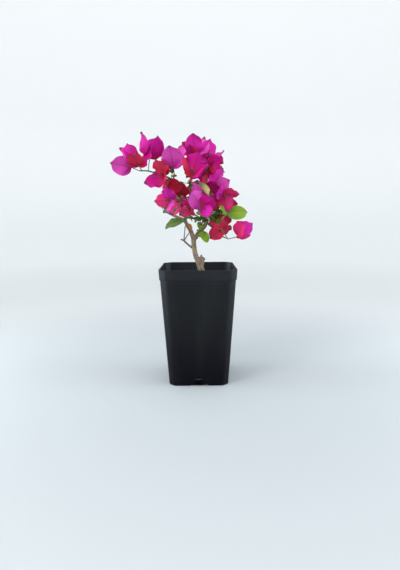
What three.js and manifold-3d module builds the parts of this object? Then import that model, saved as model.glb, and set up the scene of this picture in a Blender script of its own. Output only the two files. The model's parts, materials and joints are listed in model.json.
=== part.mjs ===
// A small bougainvillea, pruned to a short forked trunk, in a tall square nursery pot.
// Millimetres, +Z up. X runs to the right and -Y towards the viewer in the front view.
// The origin is the middle of the pot's flat underside.
import * as THREE from "three";
import { mergeVertices } from "three/addons/utils/BufferGeometryUtils.js";
import Module from "manifold-3d";

const wasm = await Module();
wasm.setup();

// Sizes of the pot
const POT_TOP = 130; // across the rim, side to side
const POT_BOTTOM = 102;
const POT_HEIGHT = 200;
const POT_WALL = 1.8;
const POT_FLOOR = 3;
const POT_EDGE = 1; // the small bevels at the foot and the rim
const CORNER_CUT = 12; // leg of each corner's chamfer, at the rim
const CORNER_ROUND = 5; // length of edge that each end of a chamfer takes up
const COLLAR_HEIGHT = 18; // the thicker band under the rim
const COLLAR_STEP = 1.2;
const COLLAR_FLARE = 1; // how much further out the rim is than the collar's foot
const SLOT = { width: 13, height: 8.5, depth: 7, sill: 2.2 }; // a drain slot in each side
const ARCH = { width: 30, height: 1.5, depth: 7 }; // a shallow arch under each side

// Sizes of the potting mix
const SOIL_LEVEL = 176;
const SOIL_BANK = 3; // how far its surface rises towards the wall
const SOIL_WAVES = [
  { x: 7, y: 11 },
  { x: -13, y: 6 },
];
const SOIL_WAVE_HEIGHT = 0.5;
const FLAT_FOOT = 22; // half the side of the level patch that the trunk stands on

// Clearances
const GAP = 0.3; // between two solids that meet
const CLEAR = 0.15; // grown on to a leaf or twig before it is tested against the others

// Sizes of the plant
const TRUNK_SIDES = 12;
const BOUGH_SIDES = 8;
const TWIG_SIDES = 3;
const TRUNK_STEPS = 10;
const STUB_STEPS = 2;
const TWIG_STEPS = 3;
const STALK_STEPS = 2;
const STALK_RADIUS = 0.75;
const STALK_BEND = 0.3; // share of the way along which a stalk leaves its stem straight
const STEM_RADII = [1.5, 1];
const TWIG_RADII = [1, 0.75];
const RECEPTACLE = { radius: 2.2, around: 5, up: 3 }; // where a bloom's bracts join its stalk
const BRACT_SINK = 1.2; // how deep a bract's foot is sunk in it
const BRACT_TWIST = 18; // each bract turns about its midrib, so one edge passes inside its neighbour
const BRACT = { width: 0.8, cup: 28, flick: -44, fold: -10, thick: 0.7, base: 0.45, point: 0.8 };
const LEAF = { width: 0.64, cup: -18, flick: -20, fold: 16, thick: 0.7, base: 0.6, point: 0.85 };
const BLADE_CELLS = 3;
const BLADE_CROWD = 1.3; // above 1, a blade's rows stand closer together near its foot
const BLADE_EDGE = 0.5; // half the width of a blade's foot and of its point
const BLADE_THIN = 0.5; // share of its thickness that a blade has lost at its sides
const RIB_STEPS = 12;

const degrees = THREE.MathUtils.degToRad;
const vector = (place) => new THREE.Vector3(...place);

// Solids

function solid(geometry) {
  const bare = new THREE.BufferGeometry();
  bare.setAttribute("position", geometry.getAttribute("position"));
  bare.setIndex(geometry.index);
  const merged = mergeVertices(bare, 1e-3);
  return new wasm.Manifold(
    new wasm.Mesh({
      numProp: 3,
      vertProperties: merged.getAttribute("position").array,
      triVerts: new Uint32Array(merged.index.array),
    }),
  );
}

function largestBody(made) {
  return made.decompose().reduce((a, b) => (b.volume() > a.volume() ? b : a));
}

function meshOf(name, made, material) {
  const { numProp, vertProperties, triVerts } = made.getMesh();
  const geometry = new THREE.BufferGeometry();
  geometry.setAttribute("position", new THREE.BufferAttribute(vertProperties, numProp));
  geometry.setIndex(new THREE.BufferAttribute(triVerts, 1));
  geometry.computeVertexNormals();
  const mesh = new THREE.Mesh(geometry, material);
  mesh.name = name;
  return mesh;
}

function box(size, centre) {
  return solid(new THREE.BoxGeometry(...size).translate(...centre));
}

// The pot

// Its outline at half a side of 1: a square with its corners cut and their ends rounded.
function potOutline() {
  const cut = (2 * CORNER_CUT) / POT_TOP;
  const round = (2 * CORNER_ROUND) / POT_TOP;
  const slant = round * Math.SQRT1_2;
  const corner = [
    [1, 1 - cut - round],
    [1 - slant, 1 - cut + slant],
    [1 - cut + slant, 1 - slant],
    [1 - cut - round, 1],
  ];
  const outline = [];
  for (let quarter = 0; quarter < 4; quarter++) {
    const turn = new THREE.Matrix3().makeRotation((quarter * Math.PI) / 2);
    for (const [x, y] of corner) {
      const point = new THREE.Vector2(x, y).applyMatrix3(turn);
      outline.push([point.x, point.y]);
    }
  }
  return outline;
}

// A lathe form whose rings follow the pot's outline. profile: [half a side, height] pairs.
// lift(x, y, half, z) is added to the height.
function squareLathe(profile, lift = () => 0) {
  const outline = potOutline();
  const points = profile.map(([half, z]) => new THREE.Vector2(half, z));
  const geometry = new THREE.LatheGeometry(points, outline.length);
  const place = geometry.getAttribute("position");
  for (let i = 0; i < place.count; i++) {
    const [half, z] = profile[i % profile.length];
    const [x, y] = outline[Math.floor(i / profile.length) % outline.length];
    place.setXYZ(i, x * half, y * half, z + lift(x * half, y * half, half, z));
  }
  return solid(geometry);
}

// Half a side of the pot's outer face, below its collar, at a height.
function potHalf(z) {
  const top = POT_TOP / 2 - COLLAR_STEP - COLLAR_FLARE;
  return THREE.MathUtils.lerp(POT_BOTTOM / 2, top, z / (POT_HEIGHT - COLLAR_HEIGHT));
}

function pot() {
  const rim = POT_TOP / 2;
  const foot = POT_BOTTOM / 2;
  const collar = POT_HEIGHT - COLLAR_HEIGHT;
  let made = squareLathe([
    [0, 0],
    [foot - POT_EDGE, 0],
    [potHalf(POT_EDGE), POT_EDGE],
    [potHalf(collar), collar],
    [potHalf(collar) + COLLAR_STEP, collar + POT_EDGE],
    [rim, POT_HEIGHT - POT_EDGE / 2],
    [rim - POT_EDGE / 2, POT_HEIGHT],
    [rim - POT_WALL, POT_HEIGHT],
    [potHalf(collar) + COLLAR_STEP - POT_WALL, collar + POT_EDGE],
    [potHalf(collar) - POT_WALL, collar - POT_EDGE],
    [potHalf(POT_FLOOR) - POT_WALL, POT_FLOOR],
    [0, POT_FLOOR],
  ]);
  for (let side = 0; side < 4; side++) {
    const slot = box([SLOT.width, SLOT.depth, SLOT.height], [0, -foot, SLOT.sill + SLOT.height / 2]);
    const arch = box([ARCH.width, 2 * ARCH.depth, 2 * ARCH.height], [0, -foot, 0]);
    made = made.subtract(slot.rotate([0, 0, 90 * side]));
    made = made.subtract(arch.rotate([0, 0, 90 * side]));
  }
  return made;
}

function soil() {
  const clear = POT_WALL + GAP;
  const floor = POT_FLOOR + GAP;
  const edge = potHalf(SOIL_LEVEL) - clear;
  const rise = (x, y, half, z) => {
    if (z < SOIL_LEVEL || half <= FLAT_FOOT) return 0;
    const waves = SOIL_WAVES.map((wave) => SOIL_WAVE_HEIGHT * Math.sin(x / wave.x + y / wave.y));
    const bank = (SOIL_BANK * (half - FLAT_FOOT)) / (edge - FLAT_FOOT);
    return waves.reduce((sum, wave) => sum + wave, bank);
  };
  return squareLathe(
    [
      [0, floor],
      [potHalf(floor) - clear, floor],
      [edge, SOIL_LEVEL],
      [(edge * 2 + FLAT_FOOT) / 3, SOIL_LEVEL],
      [(edge + FLAT_FOOT * 2) / 3, SOIL_LEVEL],
      [FLAT_FOOT, SOIL_LEVEL],
      [0, SOIL_LEVEL],
    ],
    rise,
  );
}

// Limbs and blades

function curveOf(points) {
  return new THREE.CatmullRomCurve3(points.map(vector), false, "catmullrom", 0.5);
}

// A tapering limb along a curve. radii: from root to tip, evenly spaced along it. grown is added
// all round it and at its ends.
function limb(curve, radii, sides, steps, grown) {
  const frames = curve.computeFrenetFrames(steps, false);
  const geometry = new THREE.CylinderGeometry(1, 1, 1, sides, steps);
  const place = geometry.getAttribute("position");
  for (let i = 0; i < place.count; i++) {
    const ring = Math.round((place.getY(i) + 0.5) * steps);
    const span = (ring / steps) * (radii.length - 1);
    const from = Math.min(Math.floor(span), radii.length - 2);
    const radius = THREE.MathUtils.lerp(radii[from], radii[from + 1], span - from) + grown;
    const end = ring % steps === 0 ? Math.sign(ring - 0.5) : 0;
    const point = curve
      .getPointAt(ring / steps)
      .addScaledVector(frames.binormals[ring], place.getX(i) * radius)
      .addScaledVector(frames.normals[ring], place.getZ(i) * radius)
      .addScaledVector(frames.tangents[ring], end * grown);
    place.setXYZ(i, point.x, point.y, point.z);
  }
  return solid(geometry);
}

// Where a blade's midrib has got to, and how far it has turned, at a share u of its length.
// cup curls the whole length towards the upper side, and flick turns the point.
function ribAt(kind, length, u) {
  let x = 0;
  let z = 0;
  let angle = 0;
  for (let i = 0; i < RIB_STEPS; i++) {
    const s = ((i + 0.5) * u) / RIB_STEPS;
    angle = degrees(kind.cup * s + kind.flick * s ** 3);
    x += (Math.cos(angle) * length * u) / RIB_STEPS;
    z += (Math.sin(angle) * length * u) / RIB_STEPS;
  }
  return { x, z, angle };
}

// Half a blade's width at a share u of its length.
function bladeHalf(kind, length, u) {
  const peak = kind.base / (kind.base + kind.point);
  const widest = peak ** kind.base * (1 - peak) ** kind.point;
  const spread = (u ** kind.base * (1 - u) ** kind.point) / widest;
  return (spread * kind.width * length) / 2 + BLADE_EDGE;
}

// A thin pointed blade: a bract or a leaf. It runs from at in the direction along, and its upper
// side faces up. fold lifts both halves from the midrib. A leaf's first cell is its stalk, back to
// the point root.
function blade(kind, length, at, along, up, grown, root) {
  const across = new THREE.Vector3().crossVectors(up, along);
  const base = new THREE.Matrix4().makeBasis(along, across, up).setPosition(at);
  const stalkCells = root ? 1 : 0;
  const cells = BLADE_CELLS + stalkCells;
  const geometry = new THREE.BoxGeometry(1, 1, 1, cells, 2, 1);
  const place = geometry.getAttribute("position");
  const fold = degrees(kind.fold);
  for (let i = 0; i < place.count; i++) {
    const row = Math.round((place.getX(i) + 0.5) * cells) - stalkCells;
    const side = place.getY(i) * 2;
    const face = place.getZ(i) * 2;
    const u = (Math.max(row, 0) / BLADE_CELLS) ** BLADE_CROWD;
    const rib = ribAt(kind, length, u);
    const half = bladeHalf(kind, length, u) + grown;
    const thick = (kind.thick * (1 - BLADE_THIN * Math.abs(side))) / 2 + grown;
    const lift = Math.abs(side) * half * Math.sin(fold) + face * thick;
    const point = new THREE.Vector3(
      rib.x - lift * Math.sin(rib.angle),
      side * half * Math.cos(fold),
      rib.z + lift * Math.cos(rib.angle),
    );
    point.applyMatrix4(base);
    if (row < 0) point.add(root).sub(at);
    place.setXYZ(i, point.x, point.y, point.z);
  }
  return solid(geometry);
}

// Directions

// turn: 0 faces the viewer, 90 right, 180 away. lift: 90 is straight up.
function facing(turn, lift) {
  const t = degrees(turn);
  const l = degrees(lift);
  const ahead = new THREE.Vector3(Math.sin(t) * Math.cos(l), -Math.cos(t) * Math.cos(l), Math.sin(l));
  const right = new THREE.Vector3(Math.cos(t), Math.sin(t), 0);
  const up = new THREE.Vector3().crossVectors(ahead, right);
  return { ahead, right, up };
}

// The direction and the inner side of a bract that opens from a bloom's axis.
function bractWay(frame, roll, open) {
  const r = degrees(roll);
  const o = degrees(open);
  const outward = frame.up.clone().multiplyScalar(Math.cos(r)).addScaledVector(frame.right, Math.sin(r));
  const along = frame.ahead.clone().multiplyScalar(Math.cos(o)).addScaledVector(outward, Math.sin(o));
  const inner = frame.ahead.clone().multiplyScalar(Math.sin(o)).addScaledVector(outward, -Math.cos(o));
  inner.applyAxisAngle(along, degrees(BRACT_TWIST));
  return { along, inner };
}

// Pieces of a spray. Each is a function that builds it, grown by a clearance.

function stalkTo(from, at, frame) {
  const arriving = at.clone().addScaledVector(frame.ahead, -from.distanceTo(at) / 3);
  const leaving = from.clone().lerp(at, STALK_BEND);
  const curve = new THREE.CubicBezierCurve3(from, leaving, arriving, at);
  return (grown) => limb(curve, [STALK_RADIUS, STALK_RADIUS], TWIG_SIDES, STALK_STEPS, grown);
}

function receptacle(at) {
  const { radius, around, up } = RECEPTACLE;
  return (grown) => solid(new THREE.SphereGeometry(radius + grown, around, up).translate(...at));
}

function bract(at, frame, [roll, open, length]) {
  const { along, inner } = bractWay(frame, roll, open);
  const foot = at.clone().addScaledVector(along, -BRACT_SINK);
  return (grown) => blade(BRACT, length, foot, along, inner, grown);
}

function bloomPieces(stem, bloom) {
  const at = vector(bloom.at);
  const frame = facing(...bloom.aim);
  const bracts = bloom.bracts.map((way) => bract(at, frame, way));
  return [stalkTo(stem.getPoint(bloom.along), at, frame), receptacle(bloom.at), ...bracts];
}

function leafPieces(stem, leaf) {
  const root = stem.getPoint(leaf.along);
  const frame = facing(...leaf.aim);
  const up = frame.up.applyAxisAngle(frame.ahead, degrees(-leaf.roll));
  return [(grown) => blade(LEAF, leaf.length, vector(leaf.at), frame.ahead, up, grown, root)];
}

function twigPieces(stem, twig) {
  const curve = curveOf([stem.getPoint(twig.along).toArray(), ...twig.stem]);
  return [(grown) => limb(curve, TWIG_RADII, TWIG_SIDES, TWIG_STEPS, grown)];
}

// The seeded rule: blooms and leaves stand off a stem one after another, each turned on by a golden
// share of the spray's own sector.
const RULE = {
  first: 0.3, // share of the stem where the first one may set off
  last: 0.98,
  golden: 0.618,
  stray: 0.3, // share of the sector by which a turn may stray
  lift: [-25, 25],
  reach: [0.8, 1.2],
};
const RULED_BLOOM = { stand: 15, roll: [0, 120], open: [45, 60], length: [33, 39] };
const RULED_LEAF = { stand: 7, roll: [-25, 25], length: [20, 30] };

// The same numbers in the same order for the same seed.
const SEED_STEP = 16807;
const SEED_RANGE = 2147483647;

function seeded(seed) {
  let state = seed;
  return () => {
    state = (state * SEED_STEP) % SEED_RANGE;
    return state / SEED_RANGE;
  };
}

function between([low, high], random) {
  return THREE.MathUtils.lerp(low, high, random());
}

function sideShoot(stem, ruled, index, count, random, stand) {
  const along = RULE.first + ((RULE.last - RULE.first) * (index + random())) / count;
  const swing = ((index * RULE.golden + RULE.stray * random()) % 1) - 0.5;
  const turn = ruled.sector[0] + ruled.sector[1] * swing;
  const lift = ruled.lift + between(RULE.lift, random);
  const reach = stand * between(RULE.reach, random);
  const at = stem.getPoint(along).addScaledVector(facing(turn, lift).ahead, reach);
  return { along, at: at.toArray(), aim: [turn, lift] };
}

function ruledBloom(stem, ruled, index, random) {
  const shoot = sideShoot(stem, ruled, index, ruled.blooms, random, RULED_BLOOM.stand);
  const roll = between(RULED_BLOOM.roll, random);
  const open = between(RULED_BLOOM.open, random);
  const bracts = [0, 120, 240].map((third) => [roll + third, open, between(RULED_BLOOM.length, random)]);
  return bloomPieces(stem, { ...shoot, bracts });
}

function ruledLeaf(stem, ruled, index, random) {
  const shoot = sideShoot(stem, ruled, index, ruled.leaves, random, RULED_LEAF.stand);
  const length = between(RULED_LEAF.length, random);
  const roll = between(RULED_LEAF.roll, random);
  return leafPieces(stem, { ...shoot, length, roll });
}

function ruledShoots(stem, ruled) {
  const random = seeded(ruled.seed);
  const shoots = [];
  for (let index = 0; index < ruled.blooms; index++) shoots.push(ruledBloom(stem, ruled, index, random));
  for (let index = 0; index < ruled.leaves; index++) shoots.push(ruledLeaf(stem, ruled, index, random));
  return shoots;
}

// The plant's layout

const TRUNK = {
  points: [
    [8.4, 0, SOIL_LEVEL - 4],
    [6, 0, 190],
    [2, 0, 204],
    [-3.5, -1, 217],
    [-6, -2, 229],
    [-7.5, -4, 249],
  ],
  radii: [9.2, 6.1, 5.2, 4.3, 4.1, 4],
};
const STUB = {
  points: [
    [3.5, 0, 196],
    [6, 0, 205],
    [7.8, 0.5, 217.5],
  ],
  radii: [4.4, 4.9, 4.2],
};

const BOUGHS = [
  {
    name: "bough_right",
    points: [
      [-7, -3.5, 246],
      [0.5, -2, 256],
      [8, 0, 264],
      [13.5, 3, 273],
      [9, 8, 285],
      [2, 12, 297],
      [-7, 13, 312],
    ],
    radii: [4, 3.7, 3.5, 3.3, 2.7, 2.3, 1.9],
  },
  {
    name: "bough_left",
    points: [
      [-7.5, -4, 247],
      [-11.5, -8, 260],
      [-16.7, -12, 269],
      [-22, -15, 278],
      [-32, -19, 283.5],
      [-52, -25, 292.5],
    ],
    radii: [3.9, 3.5, 3.2, 2.9, 2, 1.1],
  },
  {
    name: "bough_upper",
    points: [
      [-7, 13, 311],
      [-10, 9, 322],
      [-13, 2, 338],
      [-10, 2, 354],
      [-5, 5, 368],
    ],
    radii: [1.9, 1.8, 1.7, 1.4, 1.1],
  },
  {
    name: "bough_upper_left",
    points: [
      [-7, 12.5, 311],
      [-17, 6, 312.5],
      [-27, 0, 314],
      [-37, -4, 321],
      [-42, -5, 333],
      [-41.5, -6, 347],
    ],
    radii: [1.8, 1.6, 1.5, 1.4, 1.3, 1.2],
  },
];

// A spray grows from a point on its bough's axis. stem: the points that it runs through. along:
// where on the stem a stalk sets off. aim: the way a bloom or leaf faces, as a turn and a lift.
// bracts: each one's roll round the bloom, its opening and its length. ruled: how many blooms and
// leaves the seeded rule adds, in which sector and at which lift.
const SPRAYS = [
  {
    name: "spray_far_left",
    stem: [
      [-41.5, -6, 347],
      [-56, -6, 353],
      [-80, -8, 360.5],
      [-96, -12, 361],
    ],
    blooms: [
      {
        at: [-110, -10, 367],
        aim: [-90, 24],
        along: 1,
        bracts: [[-8, 42, 38], [112, 38, 38], [-128, 42, 36]],
      },
      {
        at: [-95.5, -14, 368.5],
        aim: [-20, 72],
        along: 0.9,
        bracts: [[180, 45, 34], [-60, 40, 46], [60, 42, 40]],
      },
      {
        at: [-79, -6, 382],
        aim: [90, 80],
        along: 0.7,
        bracts: [[-14, 30, 45], [-118, 37, 43], [126, 28, 41]],
      },
    ],
  },
  {
    name: "spray_left",
    stem: [
      [-42, -5, 338],
      [-47, -8, 346],
    ],
    blooms: [
      {
        at: [-54, -15, 353],
        aim: [-42, -4],
        along: 1,
        bracts: [[5, 55, 34], [118, 55, 32], [-115, 55, 38]],
      },
      {
        at: [-49, -7, 342],
        aim: [150, -30],
        along: 0.6,
        bracts: [[-110, 60, 28], [140, 60, 30], [10, 55, 24]],
      },
    ],
    leaves: [{ at: [-42, -10, 356], aim: [10, 60], along: 0.4, roll: 0, length: 11 }],
  },
  {
    name: "spray_top_centre",
    stem: [
      [-41.5, -6, 345],
      [-38, -9, 354],
    ],
    blooms: [
      {
        at: [-39, -12, 365],
        aim: [0, 82],
        along: 1,
        bracts: [[80, 28, 42], [-40, 30, 39], [-170, 34, 43]],
      },
    ],
  },
  {
    name: "spray_low_left",
    stem: [
      [-27, 0, 314],
      [-32, -10, 312],
      [-37, -19, 313],
    ],
    blooms: [
      {
        at: [-44, -24, 312.5],
        aim: [-35, -10],
        along: 1,
        bracts: [[8, 60, 28], [-88, 62, 29], [178, 58, 24]],
      },
    ],
    leaves: [{ at: [-29, -16, 302], aim: [-69, -33], along: 0.5, roll: 0, length: 20 }],
  },
  {
    name: "spray_inner_left",
    stem: [
      [-22, 3, 313],
      [-26, 6, 317],
    ],
    blooms: [
      {
        at: [-28, 8, 319],
        aim: [0, 100],
        along: 1,
        bracts: [[180, 22, 27], [60, 40, 30], [-60, 40, 26]],
      },
    ],
  },
  {
    name: "spray_front_top",
    stem: [
      [-13, 2, 338],
      [-12, -8, 343],
      [-9, -16, 347],
    ],
    blooms: [
      {
        at: [-8, -22, 351],
        aim: [10, 60],
        along: 1,
        bracts: [[-48, 42, 36], [20, 45, 44], [140, 50, 42]],
      },
    ],
    leaves: [
      { at: [3, -25, 338], aim: [78, -38], along: 0.5, roll: 40, length: 27 },
      { at: [-22, -8, 341], aim: [-80, 10], along: 0.3, roll: 10, length: 14 },
      { at: [-6, -14, 342], aim: [40, -10], along: 0.3, roll: -10, length: 13 },
    ],
  },
  {
    name: "spray_top",
    stem: [
      [-5, 5, 367],
      [-7, 4, 376],
    ],
    blooms: [
      {
        at: [-5.5, 4, 388],
        aim: [0, 98],
        along: 1,
        bracts: [[180, 38, 38], [46, 42, 45], [-112, 50, 30]],
      },
    ],
  },
  {
    name: "spray_top_right",
    stem: [
      [-10, 2, 354],
      [0, 6, 361],
      [12, 6, 367],
    ],
    blooms: [
      {
        at: [18, 10, 382],
        aim: [15, 25],
        along: 0.8,
        bracts: [[10, 75, 36], [130, 60, 34], [-110, 60, 34]],
      },
      {
        at: [22.5, 0, 369],
        aim: [75, 15],
        along: 1,
        bracts: [[25, 42, 36], [-80, 45, 32], [150, 45, 28]],
      },
      {
        at: [17, 11, 361],
        aim: [150, -10],
        along: 0.9,
        bracts: [[-100, 60, 30], [140, 60, 32], [20, 55, 30]],
      },
    ],
  },
  {
    name: "spray_right",
    stem: [
      [-4, 13, 307],
      [8, 6, 314],
      [22, 0, 319],
      [34, -4, 321],
    ],
    blooms: [
      {
        at: [24, -6, 329],
        aim: [55, 35],
        along: 0.6,
        bracts: [[25, 38, 42], [95, 32, 36], [-110, 45, 36]],
      },
      {
        at: [44, -8, 322],
        aim: [25, -25],
        along: 1,
        bracts: [[75, 65, 28], [165, 60, 32], [-60, 60, 32]],
      },
      {
        at: [22, -9, 313],
        aim: [20, -35],
        along: 0.5,
        bracts: [[-100, 60, 26], [140, 60, 25], [20, 60, 28]],
      },
    ],
  },
  {
    name: "spray_centre",
    stem: [
      [2, 12, 297],
      [3, 0, 300],
      [2, -14, 301],
    ],
    blooms: [
      {
        at: [6, -30, 301],
        aim: [0, 5],
        along: 1,
        bracts: [[-35, 62, 35], [60, 58, 32], [125, 60, 28]],
      },
      {
        at: [-9, -18, 302],
        aim: [-50, -20],
        along: 0.9,
        bracts: [[-120, 50, 28], [0, 50, 26], [120, 50, 24]],
      },
    ],
  },
  {
    name: "spray_low_right",
    stem: [
      [13, 4, 275],
      [24, 2, 268],
      [38, -4, 254],
      [51, -20, 247.5],
    ],
    blooms: [
      {
        at: [40, -16, 264],
        aim: [195, 15],
        along: 1,
        bracts: [[140, 70, 29], [-105, 65, 27], [20, 60, 28]],
      },
      {
        at: [68, -14, 252.5],
        aim: [60, 40],
        along: 1,
        bracts: [[-60, 36, 34], [75, 42, 36], [-170, 42, 26]],
      },
      {
        at: [35, 2, 271],
        aim: [160, 20],
        along: 0.5,
        bracts: [[-62, 60, 31], [75, 55, 28], [180, 50, 26]],
      },
    ],
  },
  {
    name: "spray_leafy_right",
    stem: [
      [9, 8, 285],
      [22, 6, 288],
      [36, 0, 288],
      [46, -4, 288],
    ],
    leaves: [
      { at: [50, -6, 289], aim: [90, 6], along: 1, roll: -80, length: 37 },
      { at: [24, -3, 280], aim: [75, 40], along: 0.4, roll: -40, length: 28 },
      { at: [48, -10, 287], aim: [-60, 60], along: 0.9, roll: 60, length: 20 },
      { at: [33, -8, 292], aim: [20, 30], along: 0.6, roll: 0, length: 16 },
      { at: [36, -9, 285], aim: [-35, 30], along: 0.7, roll: 20, length: 21 },
      { at: [21, -7, 282], aim: [50, 8], along: 0.3, roll: 35, length: 22 },
    ],
    ruled: { blooms: 0, leaves: 3, sector: [150, 120], lift: 10, seed: 71 },
  },
  {
    name: "spray_left_leaves",
    stem: [
      [-20, -14, 275],
      [-19, -21, 277],
      [-19, -24, 284],
    ],
    leaves: [
      { at: [-24, -24, 277.5], aim: [-78, -11], along: 0.5, roll: 35, length: 33 },
      { at: [-16, -24, 274], aim: [43, -50], along: 0.5, roll: 0, length: 14 },
      { at: [-23, -26, 288], aim: [-70, 40], along: 1, roll: 0, length: 12 },
    ],
  },
  {
    name: "spray_left_tip",
    stem: [
      [-52, -25, 292.5],
      [-55, -26, 295],
    ],
    leaves: [
      { at: [-57, -26, 297], aim: [-80, 60], along: 1, roll: 0, length: 8 },
      { at: [-54, -27, 297], aim: [20, 50], along: 0.8, roll: 0, length: 7 },
    ],
  },
  {
    name: "spray_fork_leaves",
    stem: [
      [3, -1, 259],
      [5, -6, 262],
      [4, -9, 267],
    ],
    leaves: [
      { at: [7, -8, 260], aim: [59, -55], along: 0.5, roll: -50, length: 22 },
      { at: [-1, -8, 279], aim: [-69, 17], along: 1, roll: 15, length: 25 },
      { at: [9, -10, 275], aim: [50, 30], along: 1, roll: 0, length: 17 },
      { at: [5, -12, 277], aim: [-55, 28], along: 1, roll: -20, length: 21 },
      { at: [8, -13, 279], aim: [15, 45], along: 1, roll: 10, length: 17 },
    ],
  },
  {
    name: "twig_low_left",
    stem: [
      [-6, -2, 229],
      [-16, -5, 237],
      [-24, -8, 244.6],
      [-28.5, -9, 246.8],
    ],
    twigs: [
      { along: 0.66, stem: [[-21.5, -12, 266.5], [-20.5, -13, 270]] },
      { along: 0.66, stem: [[-14.2, -15, 258.5]] },
    ],
  },
  {
    name: "spray_back_top",
    stem: [
      [-10, 2, 354],
      [-16, 16, 360],
      [-18, 32, 372],
    ],
    ruled: { blooms: 2, leaves: 1, sector: [190, 160], lift: 25, seed: 219 },
  },
  {
    name: "spray_back_middle",
    stem: [
      [-10, 9, 322],
      [-2, 24, 322],
      [4, 38, 326],
    ],
    ruled: { blooms: 2, leaves: 1, sector: [150, 110], lift: 5, seed: 147 },
  },
  {
    name: "spray_back_left",
    stem: [
      [-27, 0, 314],
      [-28, 14, 312],
      [-29, 24, 309],
    ],
    blooms: [
      {
        at: [-31, 32, 308],
        aim: [190, 0],
        along: 1,
        bracts: [[0, 50, 34], [120, 50, 34], [240, 50, 32]],
      },
    ],
  },
  {
    name: "spray_back_right",
    stem: [
      [2, 12, 297],
      [14, 20, 300],
      [27, 24, 306],
    ],
    blooms: [
      {
        at: [39, 27, 310],
        aim: [135, 10],
        along: 1,
        bracts: [[10, 50, 34], [130, 50, 32], [250, 50, 34]],
      },
    ],
  },
  {
    name: "spray_back_low",
    stem: [
      [13.5, 5, 277],
      [12, 18, 281],
      [4, 32, 284],
    ],
    ruled: { blooms: 0, leaves: 5, sector: [180, 200], lift: 5, seed: 21 },
  },
];

// Assembly

const MATERIALS = {
  pot: new THREE.MeshStandardMaterial({ color: 0x2a2d33, roughness: 0.5, metalness: 0 }),
  soil: new THREE.MeshStandardMaterial({ color: 0x3b2a1e, roughness: 1, metalness: 0 }),
  bark: new THREE.MeshStandardMaterial({ color: 0x8a7a66, roughness: 0.9, metalness: 0 }),
  blossom: new THREE.MeshStandardMaterial({ color: 0xc01c96, roughness: 0.65, metalness: 0 }),
  leaf: new THREE.MeshStandardMaterial({ color: 0x5f9a30, roughness: 0.55, metalness: 0 }),
};

const plant = new THREE.Group();
const taken = []; // each finished solid, and the same grown by its clearance

function finish(name, made, grown, material) {
  taken.push({ made, grown });
  plant.add(meshOf(name, made, material));
}

function clearOfTaken(made) {
  return taken.reduce((left, other) => left.subtract(other.grown), made);
}

function touchesTaken(piece) {
  return taken.some((other) => !other.made.intersect(piece).isEmpty());
}

function trunk(grown) {
  const stem = limb(curveOf(TRUNK.points), TRUNK.radii, TRUNK_SIDES, TRUNK_STEPS, grown);
  const stub = limb(curveOf(STUB.points), STUB.radii, BOUGH_SIDES, STUB_STEPS, grown);
  const deep = SOIL_LEVEL / 4;
  const below = box([2 * deep, 2 * deep, deep], [TRUNK.points[0][0], 0, SOIL_LEVEL + GAP - deep / 2]);
  return stem.add(stub).subtract(below);
}

function limbSteps(points) {
  return 2 * points.length - 2;
}

function growSpray({ stem: points, twigs = [], blooms = [], leaves = [], ruled }) {
  const stem = curveOf(points);
  const pieces = [
    (grown) => limb(stem, STEM_RADII, TWIG_SIDES, limbSteps(points), grown),
    ...twigs.flatMap((twig) => twigPieces(stem, twig)),
    ...blooms.flatMap((bloom) => bloomPieces(stem, bloom)),
    ...leaves.flatMap((leaf) => leafPieces(stem, leaf)),
  ];
  const shoots = ruled ? ruledShoots(stem, ruled) : [];
  for (const shoot of shoots) {
    if (!shoot.some((build) => touchesTaken(build(CLEAR)))) pieces.push(...shoot);
  }
  const made = wasm.Manifold.union(pieces.map((build) => build(0)));
  const grown = wasm.Manifold.union(pieces.map((build) => build(CLEAR)));
  return { made: largestBody(clearOfTaken(made)), grown };
}

function sprayMaterial({ blooms, leaves, ruled }) {
  if (blooms || (ruled && ruled.blooms > 0)) return MATERIALS.blossom;
  return leaves || ruled ? MATERIALS.leaf : MATERIALS.bark;
}

finish("pot", pot(), pot(), MATERIALS.pot);
finish("soil", soil(), soil(), MATERIALS.soil);
finish("trunk", trunk(0), trunk(GAP), MATERIALS.bark);
for (const { name, points, radii } of BOUGHS) {
  const build = (grown) => limb(curveOf(points), radii, BOUGH_SIDES, limbSteps(points), grown);
  finish(name, largestBody(clearOfTaken(build(0))), build(GAP), MATERIALS.bark);
}
for (const spray of SPRAYS) {
  const { made, grown } = growSpray(spray);
  finish(spray.name, made, grown, sprayMaterial(spray));
}

export default plant;
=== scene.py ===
"""The looks of a small bougainvillea in a tall square nursery pot.

The tables below are in millimetres and degrees and repeat the part's own sizes and rule.
Every mesh is in metres, in the frame of the packed model.
"""
import json
import math
from dataclasses import dataclass, field

import bmesh
import bpy
import numpy as np
from bpy.props import FloatProperty, FloatVectorProperty, IntProperty, PointerProperty
from mathutils import Matrix, Quaternion, Vector, noise


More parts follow.
